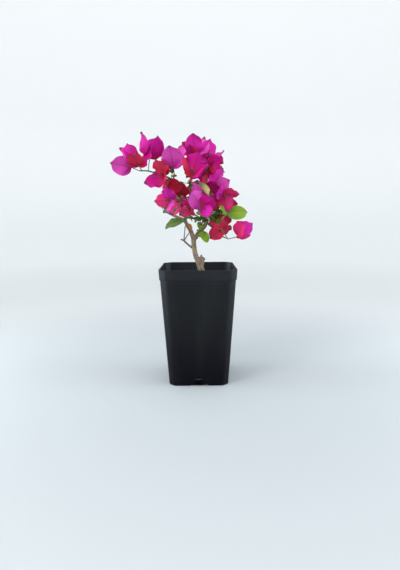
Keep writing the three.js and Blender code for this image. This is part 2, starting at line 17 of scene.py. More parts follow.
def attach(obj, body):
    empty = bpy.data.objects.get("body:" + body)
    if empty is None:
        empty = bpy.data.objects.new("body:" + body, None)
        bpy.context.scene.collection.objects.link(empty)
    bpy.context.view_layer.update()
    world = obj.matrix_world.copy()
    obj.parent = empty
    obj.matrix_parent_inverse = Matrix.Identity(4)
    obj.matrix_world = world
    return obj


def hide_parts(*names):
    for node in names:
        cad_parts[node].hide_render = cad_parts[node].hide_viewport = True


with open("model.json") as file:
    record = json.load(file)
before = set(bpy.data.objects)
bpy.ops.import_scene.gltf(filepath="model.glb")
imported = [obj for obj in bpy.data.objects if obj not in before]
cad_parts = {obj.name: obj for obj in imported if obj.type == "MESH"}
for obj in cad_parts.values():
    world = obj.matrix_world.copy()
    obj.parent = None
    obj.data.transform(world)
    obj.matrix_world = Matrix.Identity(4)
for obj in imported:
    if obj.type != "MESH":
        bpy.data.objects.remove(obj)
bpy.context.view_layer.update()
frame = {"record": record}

bl_info = {
    "name": "Potted bougainvillea",
    "version": (1, 0, 0),
    "blender": (4, 5, 0),
    "location": "3D View > Sidebar > Bougainvillea",
    "description": "Builds a small bougainvillea in a square nursery pot, with its stage",
    "category": "Object",
}

MM = 0.001
BODY = "root"

# Sizes of the pot
POT_TOP = 130
POT_BOTTOM = 102
POT_HEIGHT = 200
POT_WALL = 1.8
POT_FLOOR = 3
CORNER_CUT = 12
CORNER_ROUND = 5
CORNER_STEPS = 4
SIDE_STEPS = 10
COLLAR_HEIGHT = 18
COLLAR_STEP = 1.2
COLLAR_FLARE = 1
WALL_HEIGHTS = (1, 6, 12, 30, 60, 90, 120, 150)
INNER_HEIGHTS = (170, 120, 60, 12)
SLOT = {"width": 13, "height": 8.5, "depth": 7, "sill": 2.2}
ARCH = {"width": 30, "height": 1.5, "depth": 7}
LIP = {"width": 14, "radius": 0.85, "above": 1, "steps": 12, "sides": 8, "least": 0.2}

# The points that round the pot's edges: how far each one lies from the wall's face there, and
# how far above the foot, above the collar's lower end, or below the rim
FOOT_EDGE = ((1, 0), (0.45, 0.12), (0.12, 0.45))
STEP_EDGE = ((0.7, 0.1), (0.15, 0.45), (0, 1))
STEP_INSIDE = ((0, 1), (0.3, -0.2))
RIM_EDGE = ((0.1, 1.2), (0, 0.6), (0.25, 0.15), (0.7, 0))
RIM_INSIDE = ((0.6, 0), (0.15, 0.2), (0, 0.8))

# How far below the collar the wall's last points lie, two outside and one inside
UNDER_COLLAR = (0.6, 0.2, 1)

# Sizes of the potting mix. Its lumps: scale, then roughness, gap and number of their octaves
SOIL_LEVEL = 176
SOIL_BANK = 3
SOIL_WAVES = ((7, 11), (-13, 6))
SOIL_WAVE_HEIGHT = 0.5
SOIL_LUMPS = {"scale": 0.16, "octaves": (0.7, 2.2, 4)}
SOIL_EDGE_CALM = {"reach": 3, "least": 0.3}
SOIL_RINGS = 34
SOIL_WAIST = 90
FLAT_FOOT = 22
GAP = 0.3

# What is strewn on the mix: how its form is stretched and how fine it is, how many there are for
# each crumb, and its smallest and largest size
STREWN = {
    "mix_crumbs": ((1, 0.9, 0.8), 2, 1, (0.9, 2.6)),
    "mix_chips": ((2.2, 1.1, 0.45), 1, 0.12, (1.6, 3.6)),
    "mix_perlite": ((1, 0.95, 0.85), 2, 0.05, (1.6, 3.4)),
}
LUMP = {"dent": 0.35, "scale": 2.2, "seed": 3.7}

# The white grains at the ends of the arches under the pot
GRAIN = {"each": 3, "across": (7.5, 14), "size": (0.9, 1.7), "sunk": 0.45, "seed": 101}
GRAIN_FORM = ((1, 0.9, 0.8), 5.1, 2)

# Sizes of the plant
STALK_RADIUS = 0.75
STALK_BEND = 0.3
STEM_RADII = (1.5, 1)
TWIG_RADII = (1, 0.75)
BARE_RADII = (1.9, 1.4)
BRACT_SINK = 1.2
BRACT_TWIST = 18


@dataclass
class Blade:
    """The rule of a bract's or a leaf's shape, its angles in degrees."""

    width: float  # as a share of its length
    cup: float  # how far it curls up, evenly along its midrib
    flick: float  # how far it curls near its tip
    fold: float  # how far each half stands up from the midrib
    thick: float  # at the midrib, in millimetres
    base: float  # the smaller, the blunter its base
    point: float  # the smaller, the blunter its tip
    rows: int  # faces along it
    columns: int  # faces across it
    wave: float  # height of the waves at its edge, as a share of its length
    tip: float  # how much the last part is drawn in


BRACT = Blade(0.84, 28, -44, -10, 0.4, 0.45, 0.64, 24, 16, 0.05, 0.56)
LEAF = Blade(0.66, -18, -20, 16, 0.45, 0.6, 0.72, 14, 8, 0.024, 0.4)

# What all blades share: lengths in millimetres, the rest as shares
RIB_STEPS = 12
SMALL_BLADE = 12
ROW_SPREAD = 1.15
EDGE_HALF = 0.22
EDGE_THINNER = 0.6
TIP_PART = 0.2
# How a blade's tint turns from its foot tint to its main one: start, pace along it, and how far the edge
# waves move it, painting shade where they dip
FOOT_FADE = {"start": 0.15, "pace": 1.5, "ripple": 0.2}

# The waves at a blade's edge: height, pace along and across it, turns of their phase, and the power
# by which they grow towards the edge
EDGE_WAVES = ((1, 11, 1.6, 1, 2), (0.5, 19, -2.3, 2, 4))
EDGE_WAVES_START = 3
QUILT = {"height": 0.42, "lean": 0.35, "pace": 44}

# The main limbs: the points on their axes, and their radii from root to tip
LIMBS = [
    (
        [(8.4, 0, 172), (6, 0, 190), (2, 0, 204), (-3.5, -1, 217), (-6, -2, 229), (-7.5, -4, 249)],
        [9.2, 6.1, 5.2, 4.3, 4.1, 4],
    ),
    ([(3.5, 0, 196), (5.6, 0, 205), (6.6, 0.4, 215.5)], [4.4, 5.2, 4.2]),
    (
        [
            (-7, -3.5, 246),
            (0.5, -2, 256),
            (8, 0, 264),
            (13.5, 3, 273),
            (9, 8, 285),
            (2, 12, 297),
            (-7, 13, 312),
        ],
        [4, 3.7, 3.5, 3.3, 2.7, 2.3, 1.9],
    ),
    (
        [
            (-7.5, -4, 247),
            (-11.5, -8, 260),
            (-16.7, -12, 269),
            (-22, -15, 278),
            (-32, -19, 283.5),
            (-52, -25, 292.5),
        ],
        [3.9, 3.5, 3.2, 2.9, 2, 1.1],
    ),
    (
        [(-7, 13, 311), (-10, 9, 322), (-13, 2, 338), (-10, 2, 354), (-5, 5, 368)],
        [1.9, 1.8, 1.7, 1.4, 1.1],
    ),
    (
        [
            (-7, 12.5, 311),
            (-17, 6, 312.5),
            (-27, 0, 314),
            (-37, -4, 321),
            (-42, -5, 333),
            (-41.5, -6, 347),
        ],
        [1.8, 1.6, 1.5, 1.4, 1.3, 1.2],
    ),
]

# Knobs and snags of bark where limbs were pruned, which only the looks have
KNOBS = [
    ([(5.4, 0, 206), (1.4, -1.2, 212.6)], [3.6, 2.2]),
    ([(6.2, 0, 211), (5.8, 0.3, 219.8)], [3.4, 1.3]),
    ([(6.8, 0.4, 208), (11.2, -0.6, 213.4)], [3.6, 2.3]),
    ([(-3.6, -1, 218), (-6.6, -3.6, 221)], [2.8, 2.1]),
    ([(9, 0, 265), (13.4, -3.6, 268.4)], [2.6, 1.8]),
    ([(11.5, 1.5, 269), (16.2, -1.6, 278)], [3.5, 3.1]),
]

# The dark cut at the stub's end: its place, and how far the dark reaches
CUT = {"place": (11.4, -1, 213.4), "reach": (1.6, 3.4)}

# Blossom, leaf and stem colours as the eye sees them, red, green and blue from 0 to 255. The bracts'
# crimson and wine are painted shade: the red that magenta bracts show in shade or with light coming
# through them from behind. They are dealt to the bracts that look that way, and at random to the ruled
# blooms.
TINTS = {
    "light": (242, 98, 210),
    "magenta": (230, 44, 182),
    "deep": (214, 20, 148),
    "rose": (238, 58, 138),
    "crimson": (228, 58, 100),
    "wine": (222, 44, 78),
    "fresh": (118, 150, 16),
    "green": (82, 117, 36),
    "dark": (76, 103, 42),
    "yellow": (196, 190, 116),
    "rust": (146, 90, 62),
    "stalk": (92, 96, 72),
    "shoot": (104, 120, 70),
    "woody": (134, 118, 98),
    "calyx": (150, 60, 70),
}

# The tint at a blade's foot, by its main tint. A bract darkens towards its foot: painted shade at the
# bloom's heart, where the bracts meet.
FOOT_TINTS = {
    "light": "magenta",
    "magenta": "deep",
    "deep": "wine",
    "rose": "crimson",
    "crimson": "wine",
    "wine": "wine",
    "fresh": "green",
    "green": "dark",
    "dark": "dark",
    "yellow": "green",
    "rust": "rust",
}

# A spray grows from a point on its bough's axis. stem: the points that it runs through. Each bloom
# and leaf has its place, the share of the stem where its stalk sets off, and its aim: a turn, 0 to
# the viewer and 90 to the right, and a lift. A bloom's bracts: roll round the bloom, opening,
# length and tint. A leaf ends with its roll, length and tint. ruled: how many blooms and leaves
# the seeded rule adds, in which sector, at which lift and from which seed. young: small leaves
# that only the looks have.
SPRAYS = [
    {
        "stem": [(-41.5, -6, 347), (-56, -6, 353), (-80, -8, 360.5), (-96, -12, 361)],
        "bare": True,
        "blooms": [
            ((-110, -10, 367), 1, (-90, 24),
             [(-8, 42, 38, "magenta"), (112, 38, 38, "light"), (-128, 42, 36, "magenta")]),
            ((-95.5, -14, 368.5), 0.9, (-20, 72),
             [(180, 45, 34, "crimson"), (-60, 40, 46, "magenta"), (60, 42, 40, "deep")]),
            ((-79, -6, 382), 0.7, (90, 80),
             [(-14, 30, 45, "magenta"), (-118, 37, 43, "magenta"), (126, 28, 41, "deep")]),
        ],
    },
    {
        "stem": [(-42, -5, 338), (-47, -8, 346)],
        "blooms": [
            ((-54, -15, 353), 1, (-42, -4),
             [(5, 55, 34, "crimson"), (118, 55, 32, "wine"), (-115, 55, 38, "deep")]),
            ((-49, -7, 342), 0.6, (150, -30),
             [(-110, 60, 28, "wine"), (140, 60, 30, "deep"), (10, 55, 24, "crimson")]),
        ],
        "leaves": [((-42, -10, 356), 0.4, (10, 60), 0, 11, "dark")],
    },
    {
        "stem": [(-41.5, -6, 345), (-38, -9, 354)],
        "blooms": [
            ((-39, -12, 365), 1, (0, 82),
             [(80, 28, 42, "light"), (-40, 30, 39, "magenta"), (-170, 34, 43, "light")]),
        ],
    },
    {
        "stem": [(-27, 0, 314), (-32, -10, 312), (-37, -19, 313)],
        "blooms": [
            ((-44, -24, 312.5), 1, (-35, -10),
             [(8, 60, 28, "magenta"), (-88, 62, 29, "rose"), (178, 58, 24, "light")]),
        ],
        "leaves": [((-29, -16, 302), 0.5, (-69, -33), 0, 20, "dark")],
    },
    {
        "stem": [(-22, 3, 313), (-26, 6, 317)],
        "blooms": [
            ((-28, 8, 319), 1, (0, 100),
             [(180, 22, 27, "crimson"), (60, 40, 30, "crimson"), (-60, 40, 26, "wine")]),
        ],
    },
    {
        "stem": [(-13, 2, 338), (-12, -8, 343), (-9, -16, 347)],
        "blooms": [
            ((-8, -22, 351), 1, (10, 60),
             [(-48, 42, 36, "crimson"), (20, 45, 44, "deep"), (140, 50, 42, "deep")]),
        ],
        "leaves": [
            ((3, -25, 338), 0.5, (78, -38), 40, 27, "yellow"),
            ((-22, -8, 341), 0.3, (-80, 10), 10, 14, "dark"),
            ((-6, -14, 342), 0.3, (40, -10), -10, 13, "green"),
        ],
    },
    {
        "stem": [(-5, 5, 367), (-7, 4, 376)],
        "blooms": [
            ((-5.5, 4, 388), 1, (0, 98),
             [(180, 38, 38, "magenta"), (46, 42, 45, "light"), (-112, 50, 30, "crimson")]),
        ],
    },
    {
        "stem": [(-10, 2, 354), (0, 6, 361), (12, 6, 367)],
        "blooms": [
            ((18, 10, 382), 0.8, (15, 25),
             [(10, 75, 36, "magenta"), (130, 60, 34, "deep"), (-110, 60, 34, "magenta")]),
            ((22.5, 0, 369), 1, (75, 15),
             [(25, 42, 36, "light"), (-80, 45, 32, "deep"), (150, 45, 28, "crimson")]),
            ((17, 11, 361), 0.9, (150, -10),
             [(-100, 60, 30, "deep"), (140, 60, 32, "crimson"), (20, 55, 30, "magenta")]),
        ],
    },
    {
        "stem": [(-4, 13, 307), (8, 6, 314), (22, 0, 319), (34, -4, 321)],
        "blooms": [
            ((24, -6, 329), 0.6, (55, 35),
             [(25, 38, 42, "magenta"), (95, 32, 36, "light"), (-110, 45, 36, "deep")]),
            ((44, -8, 322), 1, (25, -25),
             [(75, 65, 28, "rose"), (165, 60, 32, "rose"), (-60, 60, 32, "magenta")]),
            ((22, -9, 313), 0.5, (20, -35),
             [(-100, 60, 26, "deep"), (140, 60, 25, "crimson"), (20, 60, 28, "magenta")]),
        ],
    },
    {
        "stem": [(2, 12, 297), (3, 0, 300), (2, -14, 301)],
        "blooms": [
            ((6, -30, 301), 1, (0, 5),
             [(-35, 62, 35, "light"), (60, 58, 32, "deep"), (125, 60, 28, "magenta")]),
            ((-9, -18, 302), 0.9, (-50, -20),
             [(-120, 50, 28, "rose"), (0, 50, 26, "rose"), (120, 50, 24, "crimson")]),
        ],
    },
    {
        "stem": [(13, 4, 275), (24, 2, 268), (38, -4, 254), (51, -20, 247.5)],
        "bare": True,
        "blooms": [
            ((40, -16, 264), 1, (195, 15),
             [(140, 70, 29, "crimson"), (-105, 65, 27, "crimson"), (20, 60, 28, "crimson")]),
            ((68, -14, 252.5), 1, (60, 40),
             [(-60, 36, 34, "rose"), (75, 42, 36, "magenta"), (-170, 42, 26, "crimson")]),
            ((35, 2, 271), 0.5, (160, 20),
             [(-62, 60, 31, "crimson"), (75, 55, 28, "wine"), (180, 50, 26, "crimson")]),
        ],
    },
    {
        "stem": [(9, 8, 285), (22, 6, 288), (36, 0, 288), (46, -4, 288)],
        "leaves": [
            ((50, -6, 289), 1, (90, 6), -80, 37, "fresh"),
            ((24, -3, 280), 0.4, (75, 40), -40, 28, "green"),
            ((48, -10, 287), 0.9, (-60, 60), 60, 20, "fresh"),
            ((33, -8, 292), 0.6, (20, 30), 0, 16, "green"),
            ((36, -9, 285), 0.7, (-35, 30), 20, 21, "dark"),
            ((21, -7, 282), 0.3, (50, 8), 35, 22, "dark"),
        ],
        "young": [
            ((26.1, -14, 274.6), 0.35, (-30, 62), 10, 15, "green"),
            ((19.4, -14, 271.2), 0.2, (-55, 48), 20, 14, "dark"),
            ((34.4, -14, 269.6), 0.6, (-20, 66), -12, 14, "green"),
            ((41, -16, 278), 0.75, (40, 58), -30, 13, "fresh"),
            ((31, -18, 281.4), 0.5, (-62, 30), 45, 13, "green"),
            ((14.4, -12, 276.2), 0.15, (35, 52), -30, 13, "green"),
        ],
        "ruled": {"blooms": 0, "leaves": 3, "sector": (150, 120), "lift": 10, "seed": 71},
    },
    {
        "stem": [(-20, -14, 275), (-19, -21, 277), (-19, -24, 284)],
        "leaves": [
            ((-24, -24, 277.5), 0.5, (-78, -11), 35, 33, "dark"),
            ((-16, -24, 274), 0.5, (43, -50), 0, 14, "rust"),
            ((-23, -26, 288), 1, (-70, 40), 0, 12, "green"),
        ],
        "young": [((-18, -24, 285.5), 1, (72, -30), 25, 14, "green")],
    },
    {
        "stem": [(-52, -25, 292.5), (-55, -26, 295)],
        "leaves": [
            ((-57, -26, 297), 1, (-80, 60), 0, 8, "green"),
            ((-54, -27, 297), 0.8, (20, 50), 0, 7, "dark"),
        ],
    },
    {
        "stem": [(3, -1, 259), (5, -6, 262), (4, -9, 267)],
        "leaves": [
            ((7, -8, 260), 0.5, (59, -55), -50, 22, "fresh"),
            ((-1, -8, 279), 1, (-69, 17), 15, 25, "dark"),
            ((9, -10, 275), 1, (50, 30), 0, 17, "green"),
            ((5, -12, 277), 1, (-55, 28), -20, 21, "dark"),
            ((8, -13, 279), 1, (15, 45), 10, 17, "green"),
        ],
        "young": [
            ((10, -10, 259), 0.5, (-75, -42), 60, 12, "fresh"),
            ((1, -9, 276), 1, (55, -62), -30, 15, "fresh"),
            ((12, -12, 281), 0.9, (60, 40), -50, 12, "green"),
        ],
    },
    {
        "stem": [(-6, -2, 229), (-16, -5, 237), (-24, -8, 244.6), (-28.5, -9, 246.8)],
        "twigs": [
            (0.66, [(-21.5, -12, 266.5), (-20.5, -13, 270)]),
            (0.66, [(-14.2, -15, 258.5)]),
        ],
        "bare": True,
    },
    {
        "stem": [(-10, 2, 354), (-16, 16, 360), (-18, 32, 372)],
        "ruled": {"blooms": 2, "leaves": 1, "sector": (190, 160), "lift": 25, "seed": 219},
    },
    {
        "stem": [(-10, 9, 322), (-2, 24, 322), (4, 38, 326)],
        "ruled": {"blooms": 2, "leaves": 1, "sector": (150, 110), "lift": 5, "seed": 147},
    },
    {
        "stem": [(-27, 0, 314), (-28, 14, 312), (-29, 24, 309)],
        "blooms": [
            ((-31, 32, 308), 1, (190, 0),
             [(0, 50, 34, "magenta"), (120, 50, 34, "rose"), (240, 50, 32, "magenta")]),
        ],
    },
    {
        "stem": [(2, 12, 297), (14, 20, 300), (27, 24, 306)],
        "blooms": [
            ((39, 27, 310), 1, (135, 10),
             [(10, 50, 34, "magenta"), (130, 50, 32, "light"), (250, 50, 34, "rose")]),
        ],
    },
    {
        "stem": [(13.5, 5, 277), (12, 18, 281), (4, 32, 284)],
        "ruled": {"blooms": 0, "leaves": 5, "sector": (180, 200), "lift": 5, "seed": 21},
    },
]

# The seeded rule of the part's source
RULE = {
    "first": 0.3,
    "last": 0.98,
    "golden": 0.618,
    "stray": 0.3,
    "lift": (-25, 25),
    "reach": (0.8, 1.2),
}
RULED_BLOOM = {"stand": 15, "roll": (0, 120), "open": (45, 60), "length": (33, 39)}
RULED_LEAF = {"stand": 7, "roll": (-25, 25), "length": (20, 30)}
BRACT_TURN = 120
RULED_TINTS = ("magenta", "rose", "magenta", "deep", "light", "crimson")
RULED_GREENS = ("green", "fresh", "dark")
SEED_STEP = 16807
SEED_RANGE = 2147483647

# How finely lines are measured, how stems and stalks are drawn, and how they end
EVEN_PARTS = 200
LENGTH_PARTS = 60
AHEAD_REACH = 0.02
STEM_PARTS = {"length": 1.5, "least": 4}
TWIG_STEPS = 12
BLOOM_STALK = {"steps": 10, "start": 0.85}
LEAF_STALK = {"steps": 6, "radii": (0.6, 0.45), "past": 0.8}
ROUND_TIP = {"past": 0.7, "radius": 0.4}

# The finer growth, which only the looks have: where nodes lie on a stem, and what grows there
GOLDEN_ANGLE = 137.5
FINE_SEED = 40127
NODE = {"apart": 7.5, "first": 0.3, "stray": 0.4, "turn": 60, "lean": 0.7}
THORN = {"length": (1.8, 3.4), "from_axis": 0.6}
BUD = {"size": 0.45, "back": 0.3}
SPROUT = {"skip": 0.62, "size": 0.6, "length": (7, 12), "radii": (0.55, 0.32), "steps": 6}
SPROUT_WAY = {"aside": 0.7, "backward": 0.25, "rise": 0.35, "bend": 0.4}
TUFT = {"leaf": (4.5, 8), "turn": 90, "spread": 0.9, "apart": 0.5, "near": 0.8}
TUFT_TINTS = ("fresh", "green", "yellow")
FLOWER = {"length": (11, 14), "spread": 13, "aside": 0.6}

# Small forms turned from rings of radius and height
THORN_FORM = {"rings": ((0.5, -0.3), (0.42, 0.5), (0.24, 1.8), (0.05, 3)), "sides": 7, "bend": -0.5}
BUD_FORM = {"rings": ((0.7, -1.8), (1.5, -0.9), (1.9, 0.1), (1.5, 1.2), (0.5, 2)), "sides": 10}
TUBE_FORM = {
    "rings": ((0.55, -0.5), (0.8, 1.5), (0.72, 4), (0.9, 8), (1.15, 10.5), (0.8, 11.6), (0.25, 12)),
    "sides": 10,
}

# How the trunk and boughs are drawn, in millimetres
LIMB_PARTS = {"length": 1.2, "least": 3, "sides": 20}
BARK_SMOOTHING = {"rounds": 3, "factor": 0.5}

# The bark's relief: how far its noise is set apart from limb to limb, stretched along a limb and
# scaled, and the roughness, gap and number of its octaves
BARK = {"apart": 40.0, "stretch": 0.11, "scale": 0.62, "octaves": (0.8, 2.1, 5)}

# How the furrows shade and the radius at which they reach their depth, and how the knots wind
FURROW = {"shade": 1.6, "radius": 4, "most": 1.4}
KNOT = {"pace": 0.42, "sway": 1.7, "slow": 0.11, "power": 12, "spiral": 0.9, "height": 0.45, "radius": 5}

# Edges sharper than these many degrees stay sharp
SHARP = {"blade": 60, "pot": 40, "mix": 50}


def linear(colour):
    """A colour as the eye sees it, 0 to 255, as Blender's own, 0 to 1."""
    shares = [level / 255 for level in colour]
    return tuple(s / 12.92 if s <= 0.04045 else ((s + 0.055) / 1.055) ** 2.4 for s in shares)


def lerp(low, high, share):
    return low + (high - low) * share


def between(limits, stream):
    return lerp(limits[0], limits[1], next(stream))


def seeded(seed):
    """The same numbers in the same order for the same seed, as in the part's source."""
    state = seed
    while True:
        state = state * SEED_STEP % SEED_RANGE
        yield state / SEED_RANGE


def eased(share):
    share = min(max(share, 0), 1)
    return share * share * (3 - 2 * share)


# Lines


class Route:
    """A smooth line through points, with its ends drawn on."""

    def __init__(self, points):
        inner = [Vector(point) for point in points]
        self.points = [2 * inner[0] - inner[1], *inner, 2 * inner[-1] - inner[-2]]
        self.spans = len(inner) - 1

    def at(self, share):
        place = share * self.spans
        first = min(int(place), self.spans - 1)
        weight = place - first
        before, start, end, after = self.points[first : first + 4]
        leave = (end - before) / 2
        arrive = (after - start) / 2
        square = 3 * (end - start) - 2 * leave - arrive
        cube = 2 * (start - end) + leave + arrive
        return start + weight * (leave + weight * (square + weight * cube))

    def evenly(self, count):
        """count + 1 points with the same length of line between them."""
        fine = [self.at(i / EVEN_PARTS) for i in range(EVEN_PARTS + 1)]
        steps = [(b - a).length for a, b in zip(fine, fine[1:])]
        reached = np.concatenate([[0], np.cumsum(steps)])
        wanted = np.linspace(0, reached[-1], count + 1)
        columns = [np.interp(wanted, reached, [p[axis] for p in fine]) for axis in range(3)]
        return [Vector(point) for point in zip(*columns)]

    def length(self):
        fine = [self.at(i / LENGTH_PARTS) for i in range(LENGTH_PARTS + 1)]
        return sum((b - a).length for a, b in zip(fine, fine[1:]))


def stalk_line(start, end, ahead, count):
    """A stalk that leaves its stem towards the bloom and arrives along the bloom's axis."""
    leaving = start.lerp(end, STALK_BEND)
    arriving = end - ahead * ((end - start).length / 3)
    line = []
    for i in range(count + 1):
        t = i / count
        s = 1 - t
        line.append(s**3 * start + 3 * s * s * t * leaving + 3 * s * t * t * arriving + t**3 * end)
    return line


def facing(turn, lift):
    """The directions ahead, right and up of what faces that way."""
    yaw = math.radians(turn)
    rise = math.radians(lift)
    level_part = math.cos(rise)
    ahead = Vector((math.sin(yaw) * level_part, -math.cos(yaw) * level_part, math.sin(rise)))
    right = Vector((math.cos(yaw), math.sin(yaw), 0))
    return ahead, right, ahead.cross(right)


# The plant's growth


@dataclass
class Plant:
    """Everything that has grown: lines with radii and tints, blades, and small copied forms."""

    stems: list = field(default_factory=list)
    bracts: list = field(default_factory=list)
    leaves: list = field(default_factory=list)
    thorns: list = field(default_factory=list)
    flowers: list = field(default_factory=list)
    buds: list = field(default_factory=list)


def form_height(form):
    return form["rings"][-1][1]


def grow_stem(plant, points, radii, tints):
    """A stem along points. radii and tints: at its root and its tip."""
    last = len(points) - 1
    sizes = [lerp(radii[0], radii[1], i / last) for i in range(last + 1)]
    ends = [Vector(linear(TINTS[name])) for name in tints]
    colours = [ends[0].lerp(ends[1], i / last) for i in range(last + 1)]
    plant.stems.append((points, sizes, colours))


def grow_bract(plant, place, ahead, right, up, bract, stream):
    """A bract, and the flower tube that stands before it."""
    roll, opening, length, tint = bract
    rolled = math.radians(roll)
    opened = math.radians(opening)
    outward = up * math.cos(rolled) + right * math.sin(rolled)
    along = ahead * math.cos(opened) + outward * math.sin(opened)
    inner = ahead * math.sin(opened) - outward * math.cos(opened)
    inner = Quaternion(along, math.radians(BRACT_TWIST)) @ inner
    foot = place - along * BRACT_SINK
    plant.bracts.append((foot, along, inner, length, tint, next(stream)))
    lean = math.radians(FLOWER["spread"])
    tube = ahead * math.cos(lean) + outward * math.sin(lean)
    size = between(FLOWER["length"], stream) / form_height(TUBE_FORM)
    plant.flowers.append((place + outward * FLOWER["aside"], tube, size))


def grow_bloom(plant, route, bloom, stream):
    at, along, aim, bracts = bloom
    place = Vector(at)
    ahead, right, up = facing(*aim)
    line = stalk_line(route.at(along), place, ahead, BLOOM_STALK["steps"])
    grow_stem(plant, line, (STALK_RADIUS * BLOOM_STALK["start"], STALK_RADIUS), ("stalk", "shoot"))
    plant.buds.append((place, ahead, 1, "shoot"))
    for bract in bracts:
        grow_bract(plant, place, ahead, right, up, bract, stream)


def grow_leaf(plant, route, leaf, stream):
    at, along, aim, roll, length, tint = leaf
    root = route.at(along)
    place = Vector(at)
    ahead, _, up = facing(*aim)
    up = Quaternion(ahead, math.radians(-roll)) @ up
    line = stalk_line(root, place + ahead * LEAF_STALK["past"], ahead, LEAF_STALK["steps"])
    grow_stem(plant, line, LEAF_STALK["radii"], ("stalk", "shoot"))
    plant.leaves.append((place, ahead, up, length, tint, next(stream)))


def side_shoot(route, ruled, index, count, stream, stand):
    """Where the seeded rule sets a bloom or a leaf: its place, its share of the stem and its aim."""
    along = RULE["first"] + (RULE["last"] - RULE["first"]) * (index + next(stream)) / count
    swing = (index * RULE["golden"] + RULE["stray"] * next(stream)) % 1 - 0.5
    turn = ruled["sector"][0] + ruled["sector"][1] * swing
    lift = ruled["lift"] + between(RULE["lift"], stream)
    reach = stand * between(RULE["reach"], stream)
    at = route.at(along) + facing(turn, lift)[0] * reach
    return at, along, (turn, lift)


def grow_ruled(plant, route, ruled, fine):
    stream = seeded(ruled["seed"])
    for index in range(ruled["blooms"]):
        shoot = side_shoot(route, ruled, index, ruled["blooms"], stream, RULED_BLOOM["stand"])
        roll = between(RULED_BLOOM["roll"], stream)
        opening = between(RULED_BLOOM["open"], stream)
        lengths = [between(RULED_BLOOM["length"], stream) for _ in range(3)]
        picks = [RULED_TINTS[int(next(fine) * len(RULED_TINTS))] for _ in range(3)]
        bracts = [
            (roll + BRACT_TURN * third, opening, lengths[third], picks[third])
            for third in range(3)
        ]
        grow_bloom(plant, route, (*shoot, bracts), fine)
    for index in range(ruled["leaves"]):
        shoot = side_shoot(route, ruled, index, ruled["leaves"], stream, RULED_LEAF["stand"])
        length = between(RULED_LEAF["length"], stream)
        roll = between(RULED_LEAF["roll"], stream)
        tint = RULED_GREENS[int(next(fine) * len(RULED_GREENS))]
        grow_leaf(plant, route, (*shoot, roll, length, tint), fine)


def round_stem(route, along, angle):
    """A point on the stem, its direction, and a direction that stands off it at an angle."""
    point = route.at(along)
    after = route.at(min(along + AHEAD_REACH, 1))
    before = route.at(max(along - AHEAD_REACH, 0))
    ahead = (after - before).normalized()
    aside = ahead.orthogonal().normalized()
    return point, ahead, Quaternion(ahead, math.radians(angle)) @ aside


def grow_sprout(plant, point, way, length, stream):
    """A fine twig with a tuft of young leaves."""
    rise = Vector((0, 0, SPROUT_WAY["rise"]))
    middle = point + (way + rise * SPROUT_WAY["bend"]) * length * 0.5
    route = Route([point, middle, point + (way + rise) * length])
    grow_stem(plant, route.evenly(SPROUT["steps"]), SPROUT["radii"], ("shoot", "fresh"))
    tip = route.at(1)
    ahead = (tip - route.at(TUFT["near"])).normalized()
    for index, tint in enumerate(TUFT_TINTS):
        turn = GOLDEN_ANGLE * index + TUFT["turn"] * next(stream)
        out = Quaternion(ahead, math.radians(turn)) @ ahead.orthogonal().normalized()
        along = (ahead + out * TUFT["spread"]).normalized()
        up = (ahead - along * ahead.dot(along)).normalized()
        size = between(TUFT["leaf"], stream)
        foot = tip - ahead * TUFT["apart"] * index
        plant.leaves.append((foot, along, up, size, tint, next(stream)))


def grow_fine(plant, route, thick, stream, bare):
    """Thorns, buds and fine sprouts at a stem's nodes, each turned on by the golden angle."""
    nodes = max(int(route.length() / NODE["apart"]), 1)
    for index in range(nodes):
        along = (index + NODE["first"] + NODE["stray"] * next(stream)) / nodes
        angle = GOLDEN_ANGLE * index + NODE["turn"] * next(stream)
        point, ahead, out = round_stem(route, along, angle)
        rise = (out + ahead * NODE["lean"]).normalized()
        size = between(THORN["length"], stream) / form_height(THORN_FORM)
        plant.thorns.append((point + out * thick * THORN["from_axis"], rise, size))
        plant.buds.append((point + (rise - ahead * BUD["back"]) * thick, rise, BUD["size"], "shoot"))
        if bare or next(stream) < SPROUT["skip"]:
            continue
        aside = out.x * SPROUT_WAY["aside"]
        backward = Vector((aside, abs(out.y) + SPROUT_WAY["backward"], out.z)).normalized()
        length = between(SPROUT["length"], stream) * SPROUT["size"]
        grow_sprout(plant, point, backward, length, stream)


def grow():
    """The whole plant, the same at each call."""
    plant = Plant()
    fine = seeded(FINE_SEED)
    for spray in SPRAYS:
        route = Route(spray["stem"])
        bare = spray.get("bare", False)
        tints = ("woody", "woody") if "twigs" in spray else ("stalk", "shoot")
        count = max(int(route.length() / STEM_PARTS["length"]), STEM_PARTS["least"])
        radii = BARE_RADII if "twigs" in spray else STEM_RADII
        grow_stem(plant, route.evenly(count), radii, tints)
        for along, points in spray.get("twigs", []):
            twig = Route([route.at(along), *points])
            grow_stem(plant, twig.evenly(TWIG_STEPS), TWIG_RADII, tints)
            grow_fine(plant, twig, TWIG_RADII[1], fine, bare)
        for bloom in spray.get("blooms", []):
            grow_bloom(plant, route, bloom, fine)
        for leaf in spray.get("leaves", []) + spray.get("young", []):
            grow_leaf(plant, route, leaf, fine)
        if "ruled" in spray:
            grow_ruled(plant, route, spray["ruled"], fine)
        grow_fine(plant, route, STEM_RADII[1], fine, bare)
    for points, radii in LIMBS[2:]:
        grow_fine(plant, Route(points), radii[-1], fine, False)
    return plant


# Meshes


def write_attribute(mesh, name, kind, values):
    """Gives each point of a mesh its value under a name."""
    words = {"FLOAT": "value", "FLOAT_VECTOR": "vector", "FLOAT_COLOR": "color"}
    layer = mesh.attributes.new(name, kind, "POINT")
    layer.data.foreach_set(words[kind], np.array(values, float).ravel())


